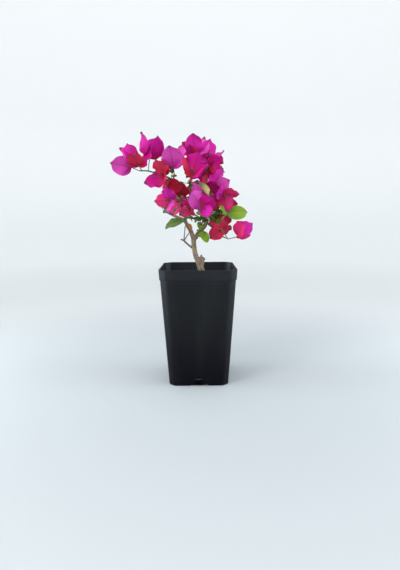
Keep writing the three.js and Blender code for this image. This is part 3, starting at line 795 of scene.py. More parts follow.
class Skin:
    """The points and faces of a piece in the making, each point with its place and its tint."""

    def __init__(self):
        self.points = []
        self.faces = []
        self.places = []
        self.tints = []

    def mesh(self, name):
        made = bpy.data.meshes.new(name)
        made.from_pydata([point * MM for point in self.points], [], self.faces)
        write_attribute(made, "tint", "FLOAT_COLOR", [(*tint, 1) for tint in self.tints])
        corners = np.zeros(len(made.loops), int)
        made.loops.foreach_get("vertex_index", corners)
        made.uv_layers.new(name="blade")
        made.uv_layers["blade"].data.foreach_set("uv", np.array(self.places)[corners].ravel())
        made.shade_smooth()
        made.set_sharp_from_angle(angle=math.radians(SHARP["blade"]))
        return made


def rib_at(form, length, share):
    """Where a blade's midrib has got to and how far it has turned."""
    x = 0
    z = 0
    angle = 0
    for i in range(RIB_STEPS):
        s = (i + 0.5) * share / RIB_STEPS
        angle = math.radians(form.cup * s + form.flick * s**3)
        x += math.cos(angle) * length * share / RIB_STEPS
        z += math.sin(angle) * length * share / RIB_STEPS
    return x, z, angle


def blade_half(form, length, share):
    """Half a blade's width. Its last part is drawn out into a fine point."""
    peak = form.base / (form.base + form.point)
    widest = peak**form.base * (1 - peak) ** form.point
    spread = share**form.base * (1 - share) ** form.point / widest
    drawn = 1 - form.tip * eased((share - (1 - TIP_PART)) / TIP_PART)
    return spread * form.width * length / 2 * drawn + EDGE_HALF


def ripple_at(share, side, phase):
    """How high the waves of a blade's edge stand there, as a share of their height."""
    ripple = 0
    for height, along, across, turns, power in EDGE_WAVES:
        ripple += height * math.sin(share * along + side * across + turns * phase) * side**power
    return ripple


def add_blade(skin, form, blade):
    """A thin closed blade with a wavy edge, quilted between its veins."""
    foot, along, up, length, tint, chance = blade
    rows = form.rows if length > SMALL_BLADE else form.rows // 2
    columns = form.columns if length > SMALL_BLADE else form.columns // 2
    across = up.cross(along)
    fold = math.radians(form.fold)
    main = Vector(linear(TINTS[tint]))
    base = Vector(linear(TINTS[FOOT_TINTS[tint]]))
    start = len(skin.points)
    phase = chance * math.tau
    for face in (1, -1):
        for row in range(rows + 1):
            share = (row / rows) ** ROW_SPREAD
            x, z, angle = rib_at(form, length, share)
            half = blade_half(form, length, share)
            fade = FOOT_FADE["start"] + FOOT_FADE["pace"] * share
            for column in range(columns + 1):
                side = 2 * column / columns - 1
                ripple = ripple_at(share, side, phase)
                quilt = math.cos((share - QUILT["lean"] * abs(side)) * QUILT["pace"])
                quilt = QUILT["height"] * quilt * (1 - side**2) * abs(side)
                thick = form.thick * (1 - EDGE_THINNER * abs(side)) / 2
                lift = abs(side) * half * math.sin(fold) + face * thick
                lift += form.wave * length * ripple * eased(share * EDGE_WAVES_START) + quilt
                point = foot + along * (x - lift * math.sin(angle))
                point += across * (side * half * math.cos(fold))
                point += up * (z + lift * math.cos(angle))
                skin.points.append(point)
                skin.places.append((share, (side + 1) / 2))
                # Painted shade: darker towards the foot and where the edge waves dip
                skin.tints.append(base.lerp(main, eased(fade + FOOT_FADE["ripple"] * ripple)))
    ring = columns + 1
    under = start + (rows + 1) * ring
    for row in range(rows):
        for column in range(columns):
            a = row * ring + column
            b = a + ring
            skin.faces.append((start + a, start + b, start + b + 1, start + a + 1))
            skin.faces.append((under + a, under + a + 1, under + b + 1, under + b))
        a = row * ring
        b = a + ring
        skin.faces.append((start + a, under + a, under + b, start + b))
        a += columns
        b += columns
        skin.faces.append((start + a, start + b, under + b, under + a))
    end = rows * ring
    for column in range(columns):
        skin.faces.append((start + column, start + column + 1, under + column + 1, under + column))
        a = end + column
        skin.faces.append((start + a, under + a, under + a + 1, start + a + 1))


def bridge(made, loops):
    """Faces between each ring of points and the next one up."""
    for low, high in zip(loops, loops[1:]):
        for i in range(len(low)):
            j = (i + 1) % len(low)
            made.faces.new((low[i], low[j], high[j], high[i]))


def fan(made, loop, centre):
    """Closes a ring of points with faces round its centre."""
    for i, corner in enumerate(loop):
        made.faces.new((corner, loop[(i + 1) % len(loop)], centre))


def mesh_of(made, name, sharp=None):
    """A finished bmesh as a mesh, shaded smooth but for its sharp edges."""
    mesh = bpy.data.meshes.new(name)
    made.to_mesh(mesh)
    made.free()
    if sharp:
        mesh.shade_smooth()
        mesh.set_sharp_from_angle(angle=math.radians(sharp))
    return mesh


def link_new(name, data):
    made = bpy.data.objects.new(name, data)
    bpy.context.scene.collection.objects.link(made)
    return made


def show(name, mesh, finish, slot, *nodes):
    """A finished piece: shown on the body, in place of the nodes. slot: not used."""
    mesh.materials.clear()
    mesh.materials.append(finish)
    made = link_new(name, mesh)
    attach(made, BODY)
    if nodes:
        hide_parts(*nodes)


def evaluated(mesh, change):
    """The mesh after the modifiers that change puts on an object of it."""
    helper = link_new("helper", mesh)
    change(helper)
    bpy.context.view_layer.update()
    graph = bpy.context.evaluated_depsgraph_get()
    made = bpy.data.meshes.new_from_object(helper.evaluated_get(graph), depsgraph=graph)
    bpy.data.objects.remove(helper)
    return made


def nodes_in(slot):
    """The packed nodes that take their finish from a material slot."""
    parts = frame["record"]["subparts"]
    return [part["node"] for part in parts if part["material_slot"] == slot]


# Geometry Nodes


def add(tree, kind, sockets=None, **settings):
    """A new node. A socket gets a value, or a link from another node's socket."""
    node = tree.nodes.new(kind)
    for setting, value in settings.items():
        setattr(node, setting, value)
    for key, value in (sockets or {}).items():
        if isinstance(value, bpy.types.NodeSocket):
            tree.links.new(value, node.inputs[key])
        else:
            node.inputs[key].default_value = value
    return node


def new_tree(name, inputs):
    """A Geometry Nodes tree with named inputs. Returns it and its input node."""
    tree = bpy.data.node_groups.new(name, "GeometryNodeTree")
    tree.interface.new_socket("Geometry", in_out="INPUT", socket_type="NodeSocketGeometry")
    for label, kind in inputs:
        tree.interface.new_socket(label, in_out="INPUT", socket_type="NodeSocket" + kind)
    tree.interface.new_socket("Geometry", in_out="OUTPUT", socket_type="NodeSocketGeometry")
    return tree, tree.nodes.new("NodeGroupInput")


def close_tree(tree, given, geometry):
    """Ends the tree in Realize Instances and Set Material."""
    real = add(tree, "GeometryNodeRealizeInstances", {"Geometry": geometry})
    smooth = add(tree, "GeometryNodeSetShadeSmooth", {"Geometry": real.outputs[0]})
    sockets = {"Geometry": smooth.outputs[0], "Material": given.outputs["Material"]}
    painted = add(tree, "GeometryNodeSetMaterial", sockets)
    add(tree, "NodeGroupOutput", {0: painted.outputs[0]})
    return tree


def named(tree, label, kind):
    """The attribute that each point carries under a name."""
    reader = add(tree, "GeometryNodeInputNamedAttribute", {"Name": label}, data_type=kind)
    return reader.outputs["Attribute"]


def copy_form(tree, given, points, turn, size):
    """Copies of the tree's form at points."""
    form = add(tree, "GeometryNodeObjectInfo", {"Object": given.outputs["Form"]})
    sockets = {
        "Points": points,
        "Instance": form.outputs["Geometry"],
        "Rotation": turn,
        "Scale": size,
    }
    return add(tree, "GeometryNodeInstanceOnPoints", sockets).outputs[0]


def stem_tree():
    """Round stems along the edges of a mesh, as thick as its points say."""
    tree, given = new_tree("Stems", [("Sides", "Int"), ("Material", "Material")])
    line = add(tree, "GeometryNodeMeshToCurve", {"Mesh": given.outputs["Geometry"]})
    round_form = {"Resolution": given.outputs["Sides"], "Radius": 1}
    ring = add(tree, "GeometryNodeCurvePrimitiveCircle", round_form)
    sockets = {
        "Curve": line.outputs[0],
        "Profile Curve": ring.outputs[0],
        "Scale": named(tree, "thick", "FLOAT"),
        "Fill Caps": True,
    }
    skin = add(tree, "GeometryNodeCurveToMesh", sockets)
    return close_tree(tree, given, skin.outputs[0])


def copies_tree():
    """A copy of a form at each point of a mesh, turned and sized as the point says."""
    tree, given = new_tree("Copies", [("Form", "Object"), ("Material", "Material")])
    turn = add(tree, "FunctionNodeEulerToRotation", {0: named(tree, "turn", "FLOAT_VECTOR")})
    size = named(tree, "size", "FLOAT")
    copies = copy_form(tree, given, given.outputs["Geometry"], turn.outputs[0], size)
    return close_tree(tree, given, copies)


def scatter_tree():
    """Copies of a form strewn over a mesh's faces, each turned and sized at random."""
    inputs = [
        ("Form", "Object"),
        ("Density", "Float"),
        ("Smallest", "Float"),
        ("Largest", "Float"),
        ("Seed", "Int"),
        ("Material", "Material"),
    ]
    tree, given = new_tree("Strewn", inputs)
    sockets = {
        "Mesh": given.outputs["Geometry"],
        "Density": given.outputs["Density"],
        "Seed": given.outputs["Seed"],
    }
    strewn = add(tree, "GeometryNodeDistributePointsOnFaces", sockets)
    sockets = {"Min": (0, 0, 0), "Max": (math.tau,) * 3, "Seed": given.outputs["Seed"]}
    turn = add(tree, "FunctionNodeRandomValue", sockets, data_type="FLOAT_VECTOR")
    # The sockets 2 and 3 are the least and most of a random number, and output 1 is the number
    sockets = {
        2: given.outputs["Smallest"],
        3: given.outputs["Largest"],
        "Seed": given.outputs["Seed"],
    }
    size = add(tree, "FunctionNodeRandomValue", sockets, data_type="FLOAT")
    copies = copy_form(tree, given, strewn.outputs["Points"], turn.outputs[0], size.outputs[1])
    return close_tree(tree, given, copies)


def run_tree(tree, mesh, values):
    """The mesh that a tree makes of a mesh, with its inputs set by their identifiers."""

    def change(helper):
        modifier = helper.modifiers.new(tree.name, "NODES")
        modifier.node_group = tree
        for item in tree.interface.items_tree:
            if item.in_out == "INPUT" and item.name in values:
                modifier[item.identifier] = values[item.name]

    made = evaluated(mesh, change)
    bpy.data.meshes.remove(mesh)
    return made


def lines_mesh(stems):
    """The stems' lines as edges, each point with its thickness and tint. Tips are rounded off."""
    points = []
    edges = []
    thick = []
    tints = []
    for line, radii, colours in stems:
        start = len(points)
        ahead = (line[-1] - line[-2]).normalized()
        tip = line[-1] + ahead * radii[-1] * ROUND_TIP["past"]
        points += [*line, tip]
        thick += [*radii, radii[-1] * ROUND_TIP["radius"]]
        tints += [*colours, colours[-1]]
        edges += [(i, i + 1) for i in range(start, len(points) - 1)]
    mesh = bpy.data.meshes.new("lines")
    mesh.from_pydata([point * MM for point in points], edges, [])
    write_attribute(mesh, "thick", "FLOAT", np.array(thick) * MM)
    write_attribute(mesh, "tint", "FLOAT_COLOR", [(*t, 1) for t in tints])
    return mesh


def places_mesh(places):
    """Points for copies of a form: (place, the way that its +Z points, size, tint)."""
    mesh = bpy.data.meshes.new("places")
    mesh.from_pydata([place * MM for place, *_ in places], [], [])
    turns = [tuple(way.to_track_quat("Z", "Y").to_euler()) for _, way, *_ in places]
    write_attribute(mesh, "turn", "FLOAT_VECTOR", turns)
    write_attribute(mesh, "size", "FLOAT", [size for _, _, size, _ in places])
    colours = [(*linear(TINTS[tint]), 1) for *_, tint in places]
    write_attribute(mesh, "tint", "FLOAT_COLOR", colours)
    return mesh


def form_object(name, made):
    return link_new(name, mesh_of(made, name))


def turned_form(name, rings, sides, bend=0):
    """A helper object turned from rings of (radius, height), bent sideways towards its tip."""
    made = bmesh.new()
    foot = made.verts.new((0, 0, rings[0][1] * MM))
    tip_height = rings[-1][1]
    loops = []
    for radius, height in rings:
        shift = bend * (height / tip_height) ** 2
        loop = []
        for i in range(sides):
            angle = math.tau * i / sides
            place = (radius * math.cos(angle) + shift, radius * math.sin(angle), height)
            loop.append(made.verts.new(Vector(place) * MM))
        loops.append(loop)
    tip = made.verts.new((bend * MM, 0, tip_height * MM))
    fan(made, loops[0][::-1], foot)
    bridge(made, loops)
    fan(made, loops[-1], tip)
    return form_object(name, made)


def lump_form(name, stretch, seed, detail):
    """A helper object: a lump of about 1 mm, dented at random and stretched."""
    made = bmesh.new()
    bmesh.ops.create_icosphere(made, subdivisions=detail, radius=0.5)
    for vertex in made.verts:
        dent = 1 + LUMP["dent"] * noise.noise(vertex.co * LUMP["scale"] + Vector((seed, 0, 0)))
        vertex.co = vertex.co * dent
        vertex.co = Vector(a * b for a, b in zip(vertex.co, stretch)) * MM
    return form_object(name, made)


def copy_mesh(form, places, finish):
    """Copies of a form at places, as one mesh. The form's object is removed."""
    values = {"Form": form, "Material": finish}
    mesh = run_tree(bpy.data.node_groups.get("Copies") or copies_tree(), places_mesh(places), values)
    bpy.data.objects.remove(form)
    return mesh


# Shader groups

# The veins' lines: strength of side veins, widths, and the net's height beside the veins'
VEIN_LINES = {"side": 0.7, "midrib": 0.07, "net": 0.09, "net_height": 0.35}

# The patches: where they start with no cover, how much cover moves that, and how soft they end
PATCHES = {"start": 0.78, "cover": 0.5, "edge": 0.25, "detail": 5.0, "roughness": 0.6}
GRAIN_DETAIL = 3.0

# The sockets of a Mix node for colours
MIX_FACTOR = 0
MIX_COLOURS = (6, 7)
MIX_RESULT = 2


def shader_group(name, inputs, outputs):
    tree = bpy.data.node_groups.new(name, "ShaderNodeTree")
    for label, kind, value in inputs:
        socket = tree.interface.new_socket(label, in_out="INPUT", socket_type="NodeSocket" + kind)
        socket.default_value = value
    for label in outputs:
        tree.interface.new_socket(label, in_out="OUTPUT", socket_type="NodeSocketFloat")
    return tree, tree.nodes.new("NodeGroupInput")


def calculate(tree, operation, first, second=0.0, third=0.0):
    """What a Math node makes of its values."""
    node = add(tree, "ShaderNodeMath", {0: first, 1: second, 2: third}, operation=operation)
    return node.outputs[0]


def times(tree, value, factor):
    return calculate(tree, "MULTIPLY", value, factor)


def remap(tree, value, low, high, to_low=0.0, to_high=1.0, kind="SMOOTHSTEP"):
    """The value moved from between low and high to between to_low and to_high."""
    sockets = {
        "Value": value,
        "From Min": low,
        "From Max": high,
        "To Min": to_low,
        "To Max": to_high,
    }
    return add(tree, "ShaderNodeMapRange", sockets, interpolation_type=kind).outputs[0]


def vein_group():
    """Midrib, side veins and the fine net between them, on a blade's own place map."""
    inputs = [
        ("Place", "Vector", (0, 0, 0)),
        ("Pairs", "Float", 7.0),
        ("Lean", "Float", 0.35),
        ("Width", "Float", 0.16),
        ("Net", "Float", 26.0),
    ]
    tree, given = shader_group("Veins", inputs, ["Vein", "Net", "Height"])
    place = add(tree, "ShaderNodeSeparateXYZ", {0: given.outputs["Place"]})
    side = calculate(
        tree, "ABSOLUTE", calculate(tree, "MULTIPLY_ADD", place.outputs["Y"], 2.0, -1.0)
    )
    lean = times(tree, side, given.outputs["Lean"])
    leaned = calculate(tree, "SUBTRACT", place.outputs["X"], lean)
    cycle = calculate(tree, "FRACT", times(tree, leaned, given.outputs["Pairs"]))
    off_line = calculate(tree, "ABSOLUTE", calculate(tree, "SUBTRACT", cycle, 0.5))
    away = times(tree, off_line, 2.0)
    lateral = remap(tree, away, 0.0, given.outputs["Width"], VEIN_LINES["side"], 0.0)
    midrib = remap(tree, side, 0.0, VEIN_LINES["midrib"], 1.0, 0.0)
    vein = calculate(tree, "MAXIMUM", lateral, midrib)
    sockets = {"Vector": given.outputs["Place"], "Scale": given.outputs["Net"]}
    cells = add(tree, "ShaderNodeTexVoronoi", sockets, feature="DISTANCE_TO_EDGE")
    net = remap(tree, cells.outputs["Distance"], 0.0, VEIN_LINES["net"], 1.0, 0.0)
    height = calculate(tree, "ADD", vein, times(tree, net, VEIN_LINES["net_height"]))
    add(tree, "NodeGroupOutput", {"Vein": vein, "Net": net, "Height": height})
    return tree


def mottle_group():
    """Soft patches and fine grain, for dust, weathering and uneven colour."""
    inputs = [
        ("Place", "Vector", (0, 0, 0)),
        ("Scale", "Float", 40.0),
        ("Cover", "Float", 0.5),
        ("Grain", "Float", 900.0),
    ]
    tree, given = shader_group("Mottle", inputs, ["Patch", "Grain"])
    sockets = {
        "Vector": given.outputs["Place"],
        "Scale": given.outputs["Scale"],
        "Detail": PATCHES["detail"],
        "Roughness": PATCHES["roughness"],
    }
    broad = add(tree, "ShaderNodeTexNoise", sockets)
    cover = times(tree, given.outputs["Cover"], PATCHES["cover"])
    start = calculate(tree, "SUBTRACT", PATCHES["start"], cover)
    patch = remap(tree, broad.outputs[0], start, calculate(tree, "ADD", start, PATCHES["edge"]))
    sockets = {
        "Vector": given.outputs["Place"],
        "Scale": given.outputs["Grain"],
        "Detail": GRAIN_DETAIL,
    }
    fine = add(tree, "ShaderNodeTexNoise", sockets)
    add(tree, "NodeGroupOutput", {"Patch": patch, "Grain": fine.outputs[0]})
    return tree


def group_node(tree, group_name, builder, sockets):
    group = bpy.data.node_groups.get(group_name) or builder()
    return add(tree, "ShaderNodeGroup", sockets, node_tree=group)


def mixed(tree, factor, first, second, blend="MIX"):
    """A mix of two colours, each a socket or a plain colour."""
    sockets = {MIX_FACTOR: factor}
    for key, colour in zip(MIX_COLOURS, (first, second)):
        linked = isinstance(colour, bpy.types.NodeSocket)
        sockets[key] = colour if linked else (*colour, 1)
    node = add(tree, "ShaderNodeMix", sockets, data_type="RGBA", blend_type=blend)
    return node.outputs[MIX_RESULT]


def new_material(name):
    """A material with its Principled BSDF, and its tree."""
    made = bpy.data.materials.new(name)
    made.use_nodes = True
    return made, made.node_tree, made.node_tree.nodes["Principled BSDF"]


def object_place(tree):
    return tree.nodes.new("ShaderNodeTexCoord").outputs["Object"]


def attribute(tree, label, output="Color"):
    return add(tree, "ShaderNodeAttribute", attribute_name=label).outputs[output]


# Finishes

# How each finish uses the shared groups
MOTTLES = {
    "plastic": {"Scale": 30.0, "Cover": 0.7, "Grain": 2600.0},
    "bark": {"Scale": 140.0, "Cover": 0.55, "Grain": 2200.0},
    "stem": {"Scale": 420.0, "Cover": 0.5, "Grain": 3200.0},
    "bract": {"Scale": 110.0, "Cover": 0.6, "Grain": 1800.0},
    "leaf": {"Scale": 150.0, "Cover": 0.5, "Grain": 1500.0},
    "flower": {"Scale": 500.0, "Cover": 0.5, "Grain": 3000.0},
    "earth": {"Scale": 260.0, "Cover": 0.8, "Grain": 1900.0},
}
VEINS = {
    "bract": {"Pairs": 7.0, "Lean": 0.35, "Width": 0.2, "Net": 24.0},
    "leaf": {"Pairs": 6.0, "Lean": 0.4, "Width": 0.14, "Net": 30.0},
}
STREAKS = {"Scale": 0.9, "Detail": 6.0, "Roughness": 0.65}

# How strongly each effect shows, from 0 to 1
SHARES = {
    "dust": 0.04,
    # Strength of the painted highlight on the slot lips
    "lip_highlight": 0.35,
    "pale bark": 0.6,
    "furrow": 0.75,
    "cut": 0.75,
    "bark grain": 0.4,
    "stem shade": 0.55,
    "stem dots": 0.3,
    "thin paper": 0.3,
    "bract veins": 0.42,
    "bract net": 0.16,
    "bract tip": 0.85,
    "leaf shade": 0.35,
    "leaf veins": 0.4,
    "dark crumbs": 0.4,
}

# Where effects start and end: heights in metres, the bark's noise and relief, shares of a bract
SPANS = {
    # Painted shade up from the pot's foot, and painted light at its rim
    "foot shade": (0.0, 0.16),
    "rim": (0.172, 0.188),
    "streaks": (0.3, 0.7),
    "furrow": (-1.0, 0.1),
    "bract tip": (0.86, 1.0),
    "leaf shine": (0.3, 0.7),
    "mix depth shade": (0.02, 0.12),
}

# How the plastic's patches are drawn out up the walls, and the painted shade that darkens the mix far
# down in the pot
PLASTIC_FLOW = (1, 1, 0.12)
MIX_DEPTH_SHADE = (3, 3, 4)

# How each finish shines: least and most roughness, specular share, and the depth in metres and
# the strength of its fine relief
SHINES = {
    "plastic": ((0.4, 0.55), 0.12, (0.00008, 0.5)),
    "bark": ((0.88, 0.88), 0.25, (0.0004, 0.8)),
    "stem": ((0.62, 0.62), 0.5, (0.00015, 0.7)),
    "bract": ((0.5, 0.64), 0.15, (0.0005, 0.9)),
    "leaf": ((0.36, 0.5), 0.3, (0.0004, 0.6)),
    "flower": ((0.7, 0.7), 0.5, (0.0001, 0.6)),
    "mix": ((0.95, 0.95), 0.12, (0.0006, 0.8)),
    "chips": ((0.85, 0.85), 0.12, (0.0006, 0.8)),
    "perlite": ((0.9, 0.9), 0.12, (0.0006, 0.8)),
}


def mottle_of(tree, kind, place=None):
    """The outputs of the mottle that a finish uses, patch and grain."""
    sockets = {"Place": place or object_place(tree), **MOTTLES[kind]}
    outputs = group_node(tree, "Mottle", mottle_group, sockets).outputs
    return outputs["Patch"], outputs["Grain"]


def veins_of(tree, kind, place):
    """The outputs of the veins that a finish uses: veins, net and height."""
    outputs = group_node(tree, "Veins", vein_group, {"Place": place, **VEINS[kind]}).outputs
    return outputs["Vein"], outputs["Net"], outputs["Height"]


def shine(tree, shader, kind, colour, height, uneven=None, limits=(0.0, 1.0)):
    """Sets a finish's colour, roughness, specular share and fine relief."""
    (smooth, rough), specular, (depth, strength) = SHINES[kind]
    tree.links.new(colour, shader.inputs["Base Color"])
    if uneven:
        unevenly = remap(tree, uneven, *limits, smooth, rough, "LINEAR")
        tree.links.new(unevenly, shader.inputs["Roughness"])
    else:
        shader.inputs["Roughness"].default_value = rough
    shader.inputs["Specular IOR Level"].default_value = specular
    sockets = {"Height": height, "Distance": depth, "Strength": strength}
    relief = add(tree, "ShaderNodeBump", sockets)
    tree.links.new(relief.outputs[0], shader.inputs["Normal"])


def plastic_finish(settings):
    """Satin black moulded plastic, a little dusty, darker towards the foot with painted shade, paler at
    the rim with painted light, and with a painted highlight on the slot lips.
    """
    made, tree, shader = new_material("satin_black_plastic")
    place = object_place(tree)
    flow = add(tree, "ShaderNodeMapping", {"Vector": place, "Scale": PLASTIC_FLOW})
    patch, grain = mottle_of(tree, "plastic", flow.outputs[0])
    height = add(tree, "ShaderNodeSeparateXYZ", {0: place}).outputs["Z"]
    # Painted shade: the plastic darkens towards the foot
    low = remap(tree, height, *SPANS["foot shade"], 1.0, 0.0)
    colour = mixed(tree, low, settings.plastic, settings.plastic_foot_shade)
    # Painted light: paler at the rim
    rim = remap(tree, height, *SPANS["rim"])
    colour = mixed(tree, rim, colour, settings.plastic_rim_light)
    dusty = times(tree, patch, SHARES["dust"])
    # Painted highlight along the slot lips, mixed towards the dust colour
    lip_highlit = times(tree, attribute(tree, "lip_highlight", "Fac"), SHARES["lip_highlight"])
    colour = mixed(tree, calculate(tree, "MAXIMUM", dusty, lip_highlit), colour, settings.dust)
    shine(tree, shader, "plastic", colour, grain, patch)
    return made


def bark_finish(settings):
    """Grey-brown bark, streaked along the limb, darker in its furrows and at the stub's cut."""
    made, tree, shader = new_material("grey_brown_bark")
    sockets = {"Vector": attribute(tree, "grain", "Vector"), **STREAKS}
    streak = add(tree, "ShaderNodeTexNoise", sockets).outputs[0]
    patch, grain = mottle_of(tree, "bark")
    streaky = remap(tree, streak, *SPANS["streaks"])
    colour = mixed(tree, streaky, settings.bark_dark, settings.bark)
    colour = mixed(tree, times(tree, patch, SHARES["pale bark"]), colour, settings.bark_pale)
    relief = attribute(tree, "relief", "Fac")
    furrow = remap(tree, relief, *SPANS["furrow"], SHARES["furrow"], 0.0)
    colour = mixed(tree, furrow, colour, settings.furrow)
    sockets = {0: object_place(tree), 1: Vector(CUT["place"]) * MM}
    away = add(tree, "ShaderNodeVectorMath", sockets, operation="DISTANCE").outputs["Value"]
    near, far = CUT["reach"]
    cut = remap(tree, away, near * MM, far * MM, SHARES["cut"], 0.0)
    colour = mixed(tree, cut, colour, settings.furrow)
    height = calculate(tree, "ADD", streak, times(tree, grain, SHARES["bark grain"]))
    shine(tree, shader, "bark", colour, height)
    return made


def stem_finish(settings):
    """Young green-brown stems with fine lengthwise streaks and paler dots."""
    made, tree, shader = new_material("young_stem")
    patch, grain = mottle_of(tree, "stem")
    shade = times(tree, grain, SHARES["stem shade"])
    colour = mixed(tree, shade, attribute(tree, "tint"), settings.shade)
    colour = mixed(tree, times(tree, patch, SHARES["stem dots"]), colour, settings.spots)
    shine(tree, shader, "stem", colour, grain)
    return made


def bract_finish(settings):
    """Papery bracts: veined, a little lighter between the veins, dark at the drawn-out point."""
    made, tree, shader = new_material("papery_bract")
    place = add(tree, "ShaderNodeUVMap", uv_map="blade").outputs[0]
    vein, net, height = veins_of(tree, "bract", place)
    patch, _ = mottle_of(tree, "bract")
    light = times(tree, patch, SHARES["thin paper"])
    colour = mixed(tree, light, attribute(tree, "tint"), settings.bract_light, "SOFT_LIGHT")
    lined = times(tree, vein, SHARES["bract veins"])
    colour = mixed(tree, lined, colour, settings.bract_vein, "MULTIPLY")
    netted = times(tree, net, SHARES["bract net"])
    colour = mixed(tree, netted, colour, settings.bract_vein, "MULTIPLY")
    along = add(tree, "ShaderNodeSeparateXYZ", {0: place}).outputs["X"]
    pointed = remap(tree, along, *SPANS["bract tip"], 0.0, SHARES["bract tip"])
    colour = mixed(tree, pointed, colour, settings.bract_tip)
    shine(tree, shader, "bract", colour, height, patch)
    through = add(tree, "ShaderNodeBsdfTranslucent", {"Color": colour})
    sockets = {0: settings.glow, 1: shader.outputs[0], 2: through.outputs[0]}
    blend = add(tree, "ShaderNodeMixShader", sockets)
    tree.links.new(blend.outputs[0], tree.nodes["Material Output"].inputs["Surface"])
    return made


def leaf_finish(settings):
    """Leaves with paler veins, slightly glossy and unevenly green."""
    made, tree, shader = new_material("veined_leaf")
    place = add(tree, "ShaderNodeUVMap", uv_map="blade").outputs[0]
    vein, _, height = veins_of(tree, "leaf", place)
    patch, grain = mottle_of(tree, "leaf")
    patchy = times(tree, patch, SHARES["leaf shade"])
    colour = mixed(tree, patchy, attribute(tree, "tint"), settings.leaf_shade, "MULTIPLY")
    colour = mixed(tree, times(tree, vein, SHARES["leaf veins"]), colour, settings.leaf_vein)
    shine(tree, shader, "leaf", colour, height, grain, SPANS["leaf shine"])
    return made


def flower_finish(settings):
    """The slender closed flower tubes at a bloom's heart."""
    made, tree, shader = new_material("flower_tube")
    _, grain = mottle_of(tree, "flower")
    colour = mixed(tree, grain, settings.tube, settings.tube_dark)
    shine(tree, shader, "flower", colour, grain)
    return made


def earth_finish(name, kind, main, dark, deep=False):
    """Damp, uneven potting mix, bark chips or perlite. deep: painted shade turns it nearly black far
    down in the pot.
    """
    made, tree, shader = new_material(name)
    patch, grain = mottle_of(tree, "earth")
    colour = mixed(tree, patch, dark, main)
    colour = mixed(tree, times(tree, grain, SHARES["dark crumbs"]), colour, dark)
    if deep:
        height = add(tree, "ShaderNodeSeparateXYZ", {0: object_place(tree)}).outputs["Z"]
        # Painted shade: nearly black far down, where the mix shows through the drain slots
        colour = mixed(tree, remap(tree, height, *SPANS["mix depth shade"]), linear(MIX_DEPTH_SHADE), colour)
    shine(tree, shader, kind, colour, grain)
    return made


# Settings


def colour_property(name, description, seen):
    return FloatVectorProperty(
        name=name,
        description=description,
        subtype="COLOR",
        min=0,
        max=1,
        default=linear(seen),
    )


class PotSettings(bpy.types.PropertyGroup):
    """Finish of the pot"""

    plastic: colour_property("Plastic", "The black plastic half way up", (24, 26, 29))
    # Painted shade: the colour that the plastic darkens to at the foot
    plastic_foot_shade: colour_property("Plastic at the foot", "The same where it looks darkest", (3, 2, 12))
    # Painted light: the colour that the plastic pales to at the rim
    plastic_rim_light: colour_property("Plastic at the rim", "The same where it looks palest", (32, 35, 40))
    # Dust, and also the colour of the painted highlight on the slot lips
    dust: colour_property("Dust", "A thin film of dust", (96, 98, 100))
    bow: FloatProperty(
        name="Bow",
        description="How far the walls curve inwards between the corners",
        default=0.0004,
        unit="LENGTH",
    )


class SoilSettings(bpy.types.PropertyGroup):
    """The potting mix and what is strewn on it"""

    mix: colour_property("Mix", "The damp potting mix", (92, 68, 50))
    mix_dark: colour_property("Dark mix", "Its darkest crumbs", (44, 32, 24))
    chips: colour_property("Chips", "Bark chips", (128, 88, 58))
    perlite: colour_property("Perlite", "White grains", (226, 222, 212))
    roughness: FloatProperty(
        name="Unevenness",
        description="Height of the lumps in its surface",
        default=0.0011,
        unit="LENGTH",
    )
    crumbs: IntProperty(name="Crumbs", description="Crumbs for each square metre", default=90000)
    seed: IntProperty(name="Seed", description="Seed of everything strewn on the mix", default=7)


class WoodSettings(bpy.types.PropertyGroup):
    """The trunk and boughs"""

    bark: colour_property("Bark", "Its main colour", (166, 148, 126))
    bark_dark: colour_property("Dark bark", "Dark streaks", (112, 96, 77))
    bark_pale: colour_property("Pale bark", "Weathered patches", (182, 170, 151))
    furrow: colour_property("Furrows", "The deepest cracks", (62, 50, 40))
    relief: FloatProperty(
        name="Relief", description="Depth of the bark's furrows", default=0.00032, unit="LENGTH"
    )
    cell: FloatProperty(
        name="Cell", description="Size of the cells of the bark's skin", default=0.0005, unit="LENGTH"
    )


class StemSettings(bpy.types.PropertyGroup):
    """Thin stems, stalks, thorns and buds"""

    shade: colour_property("Shade", "Dark streaks", (44, 46, 34))
    spots: colour_property("Spots", "Pale dots", (150, 148, 120))
    sides: IntProperty(name="Sides", description="Faces round a stem", default=9, min=3)


class BlossomSettings(bpy.types.PropertyGroup):
    """Bracts and flower tubes"""

    bract_light: colour_property("Light patches", "Where a bract is thinnest", (236, 150, 214))
    bract_vein: colour_property("Veins", "Darkening along the veins", (150, 40, 110))
    bract_tip: colour_property("Tip", "The drawn-out point of a bract", (98, 62, 74))
    tube: colour_property("Tube", "The closed flower tubes", (170, 78, 92))
    tube_dark: colour_property("Dark tube", "Their darker streaks", (92, 22, 48))
    glow: FloatProperty(
        name="Glow",
        description="Share of light that comes through a bract",
        default=0.3,
        min=0,
        max=1,
        subtype="FACTOR",
    )


class LeafSettings(bpy.types.PropertyGroup):
    """Leaves, large and small"""

    leaf_shade: colour_property("Shade", "Uneven darker green", (150, 170, 120))
    leaf_vein: colour_property("Veins", "Pale veins", (160, 184, 84))


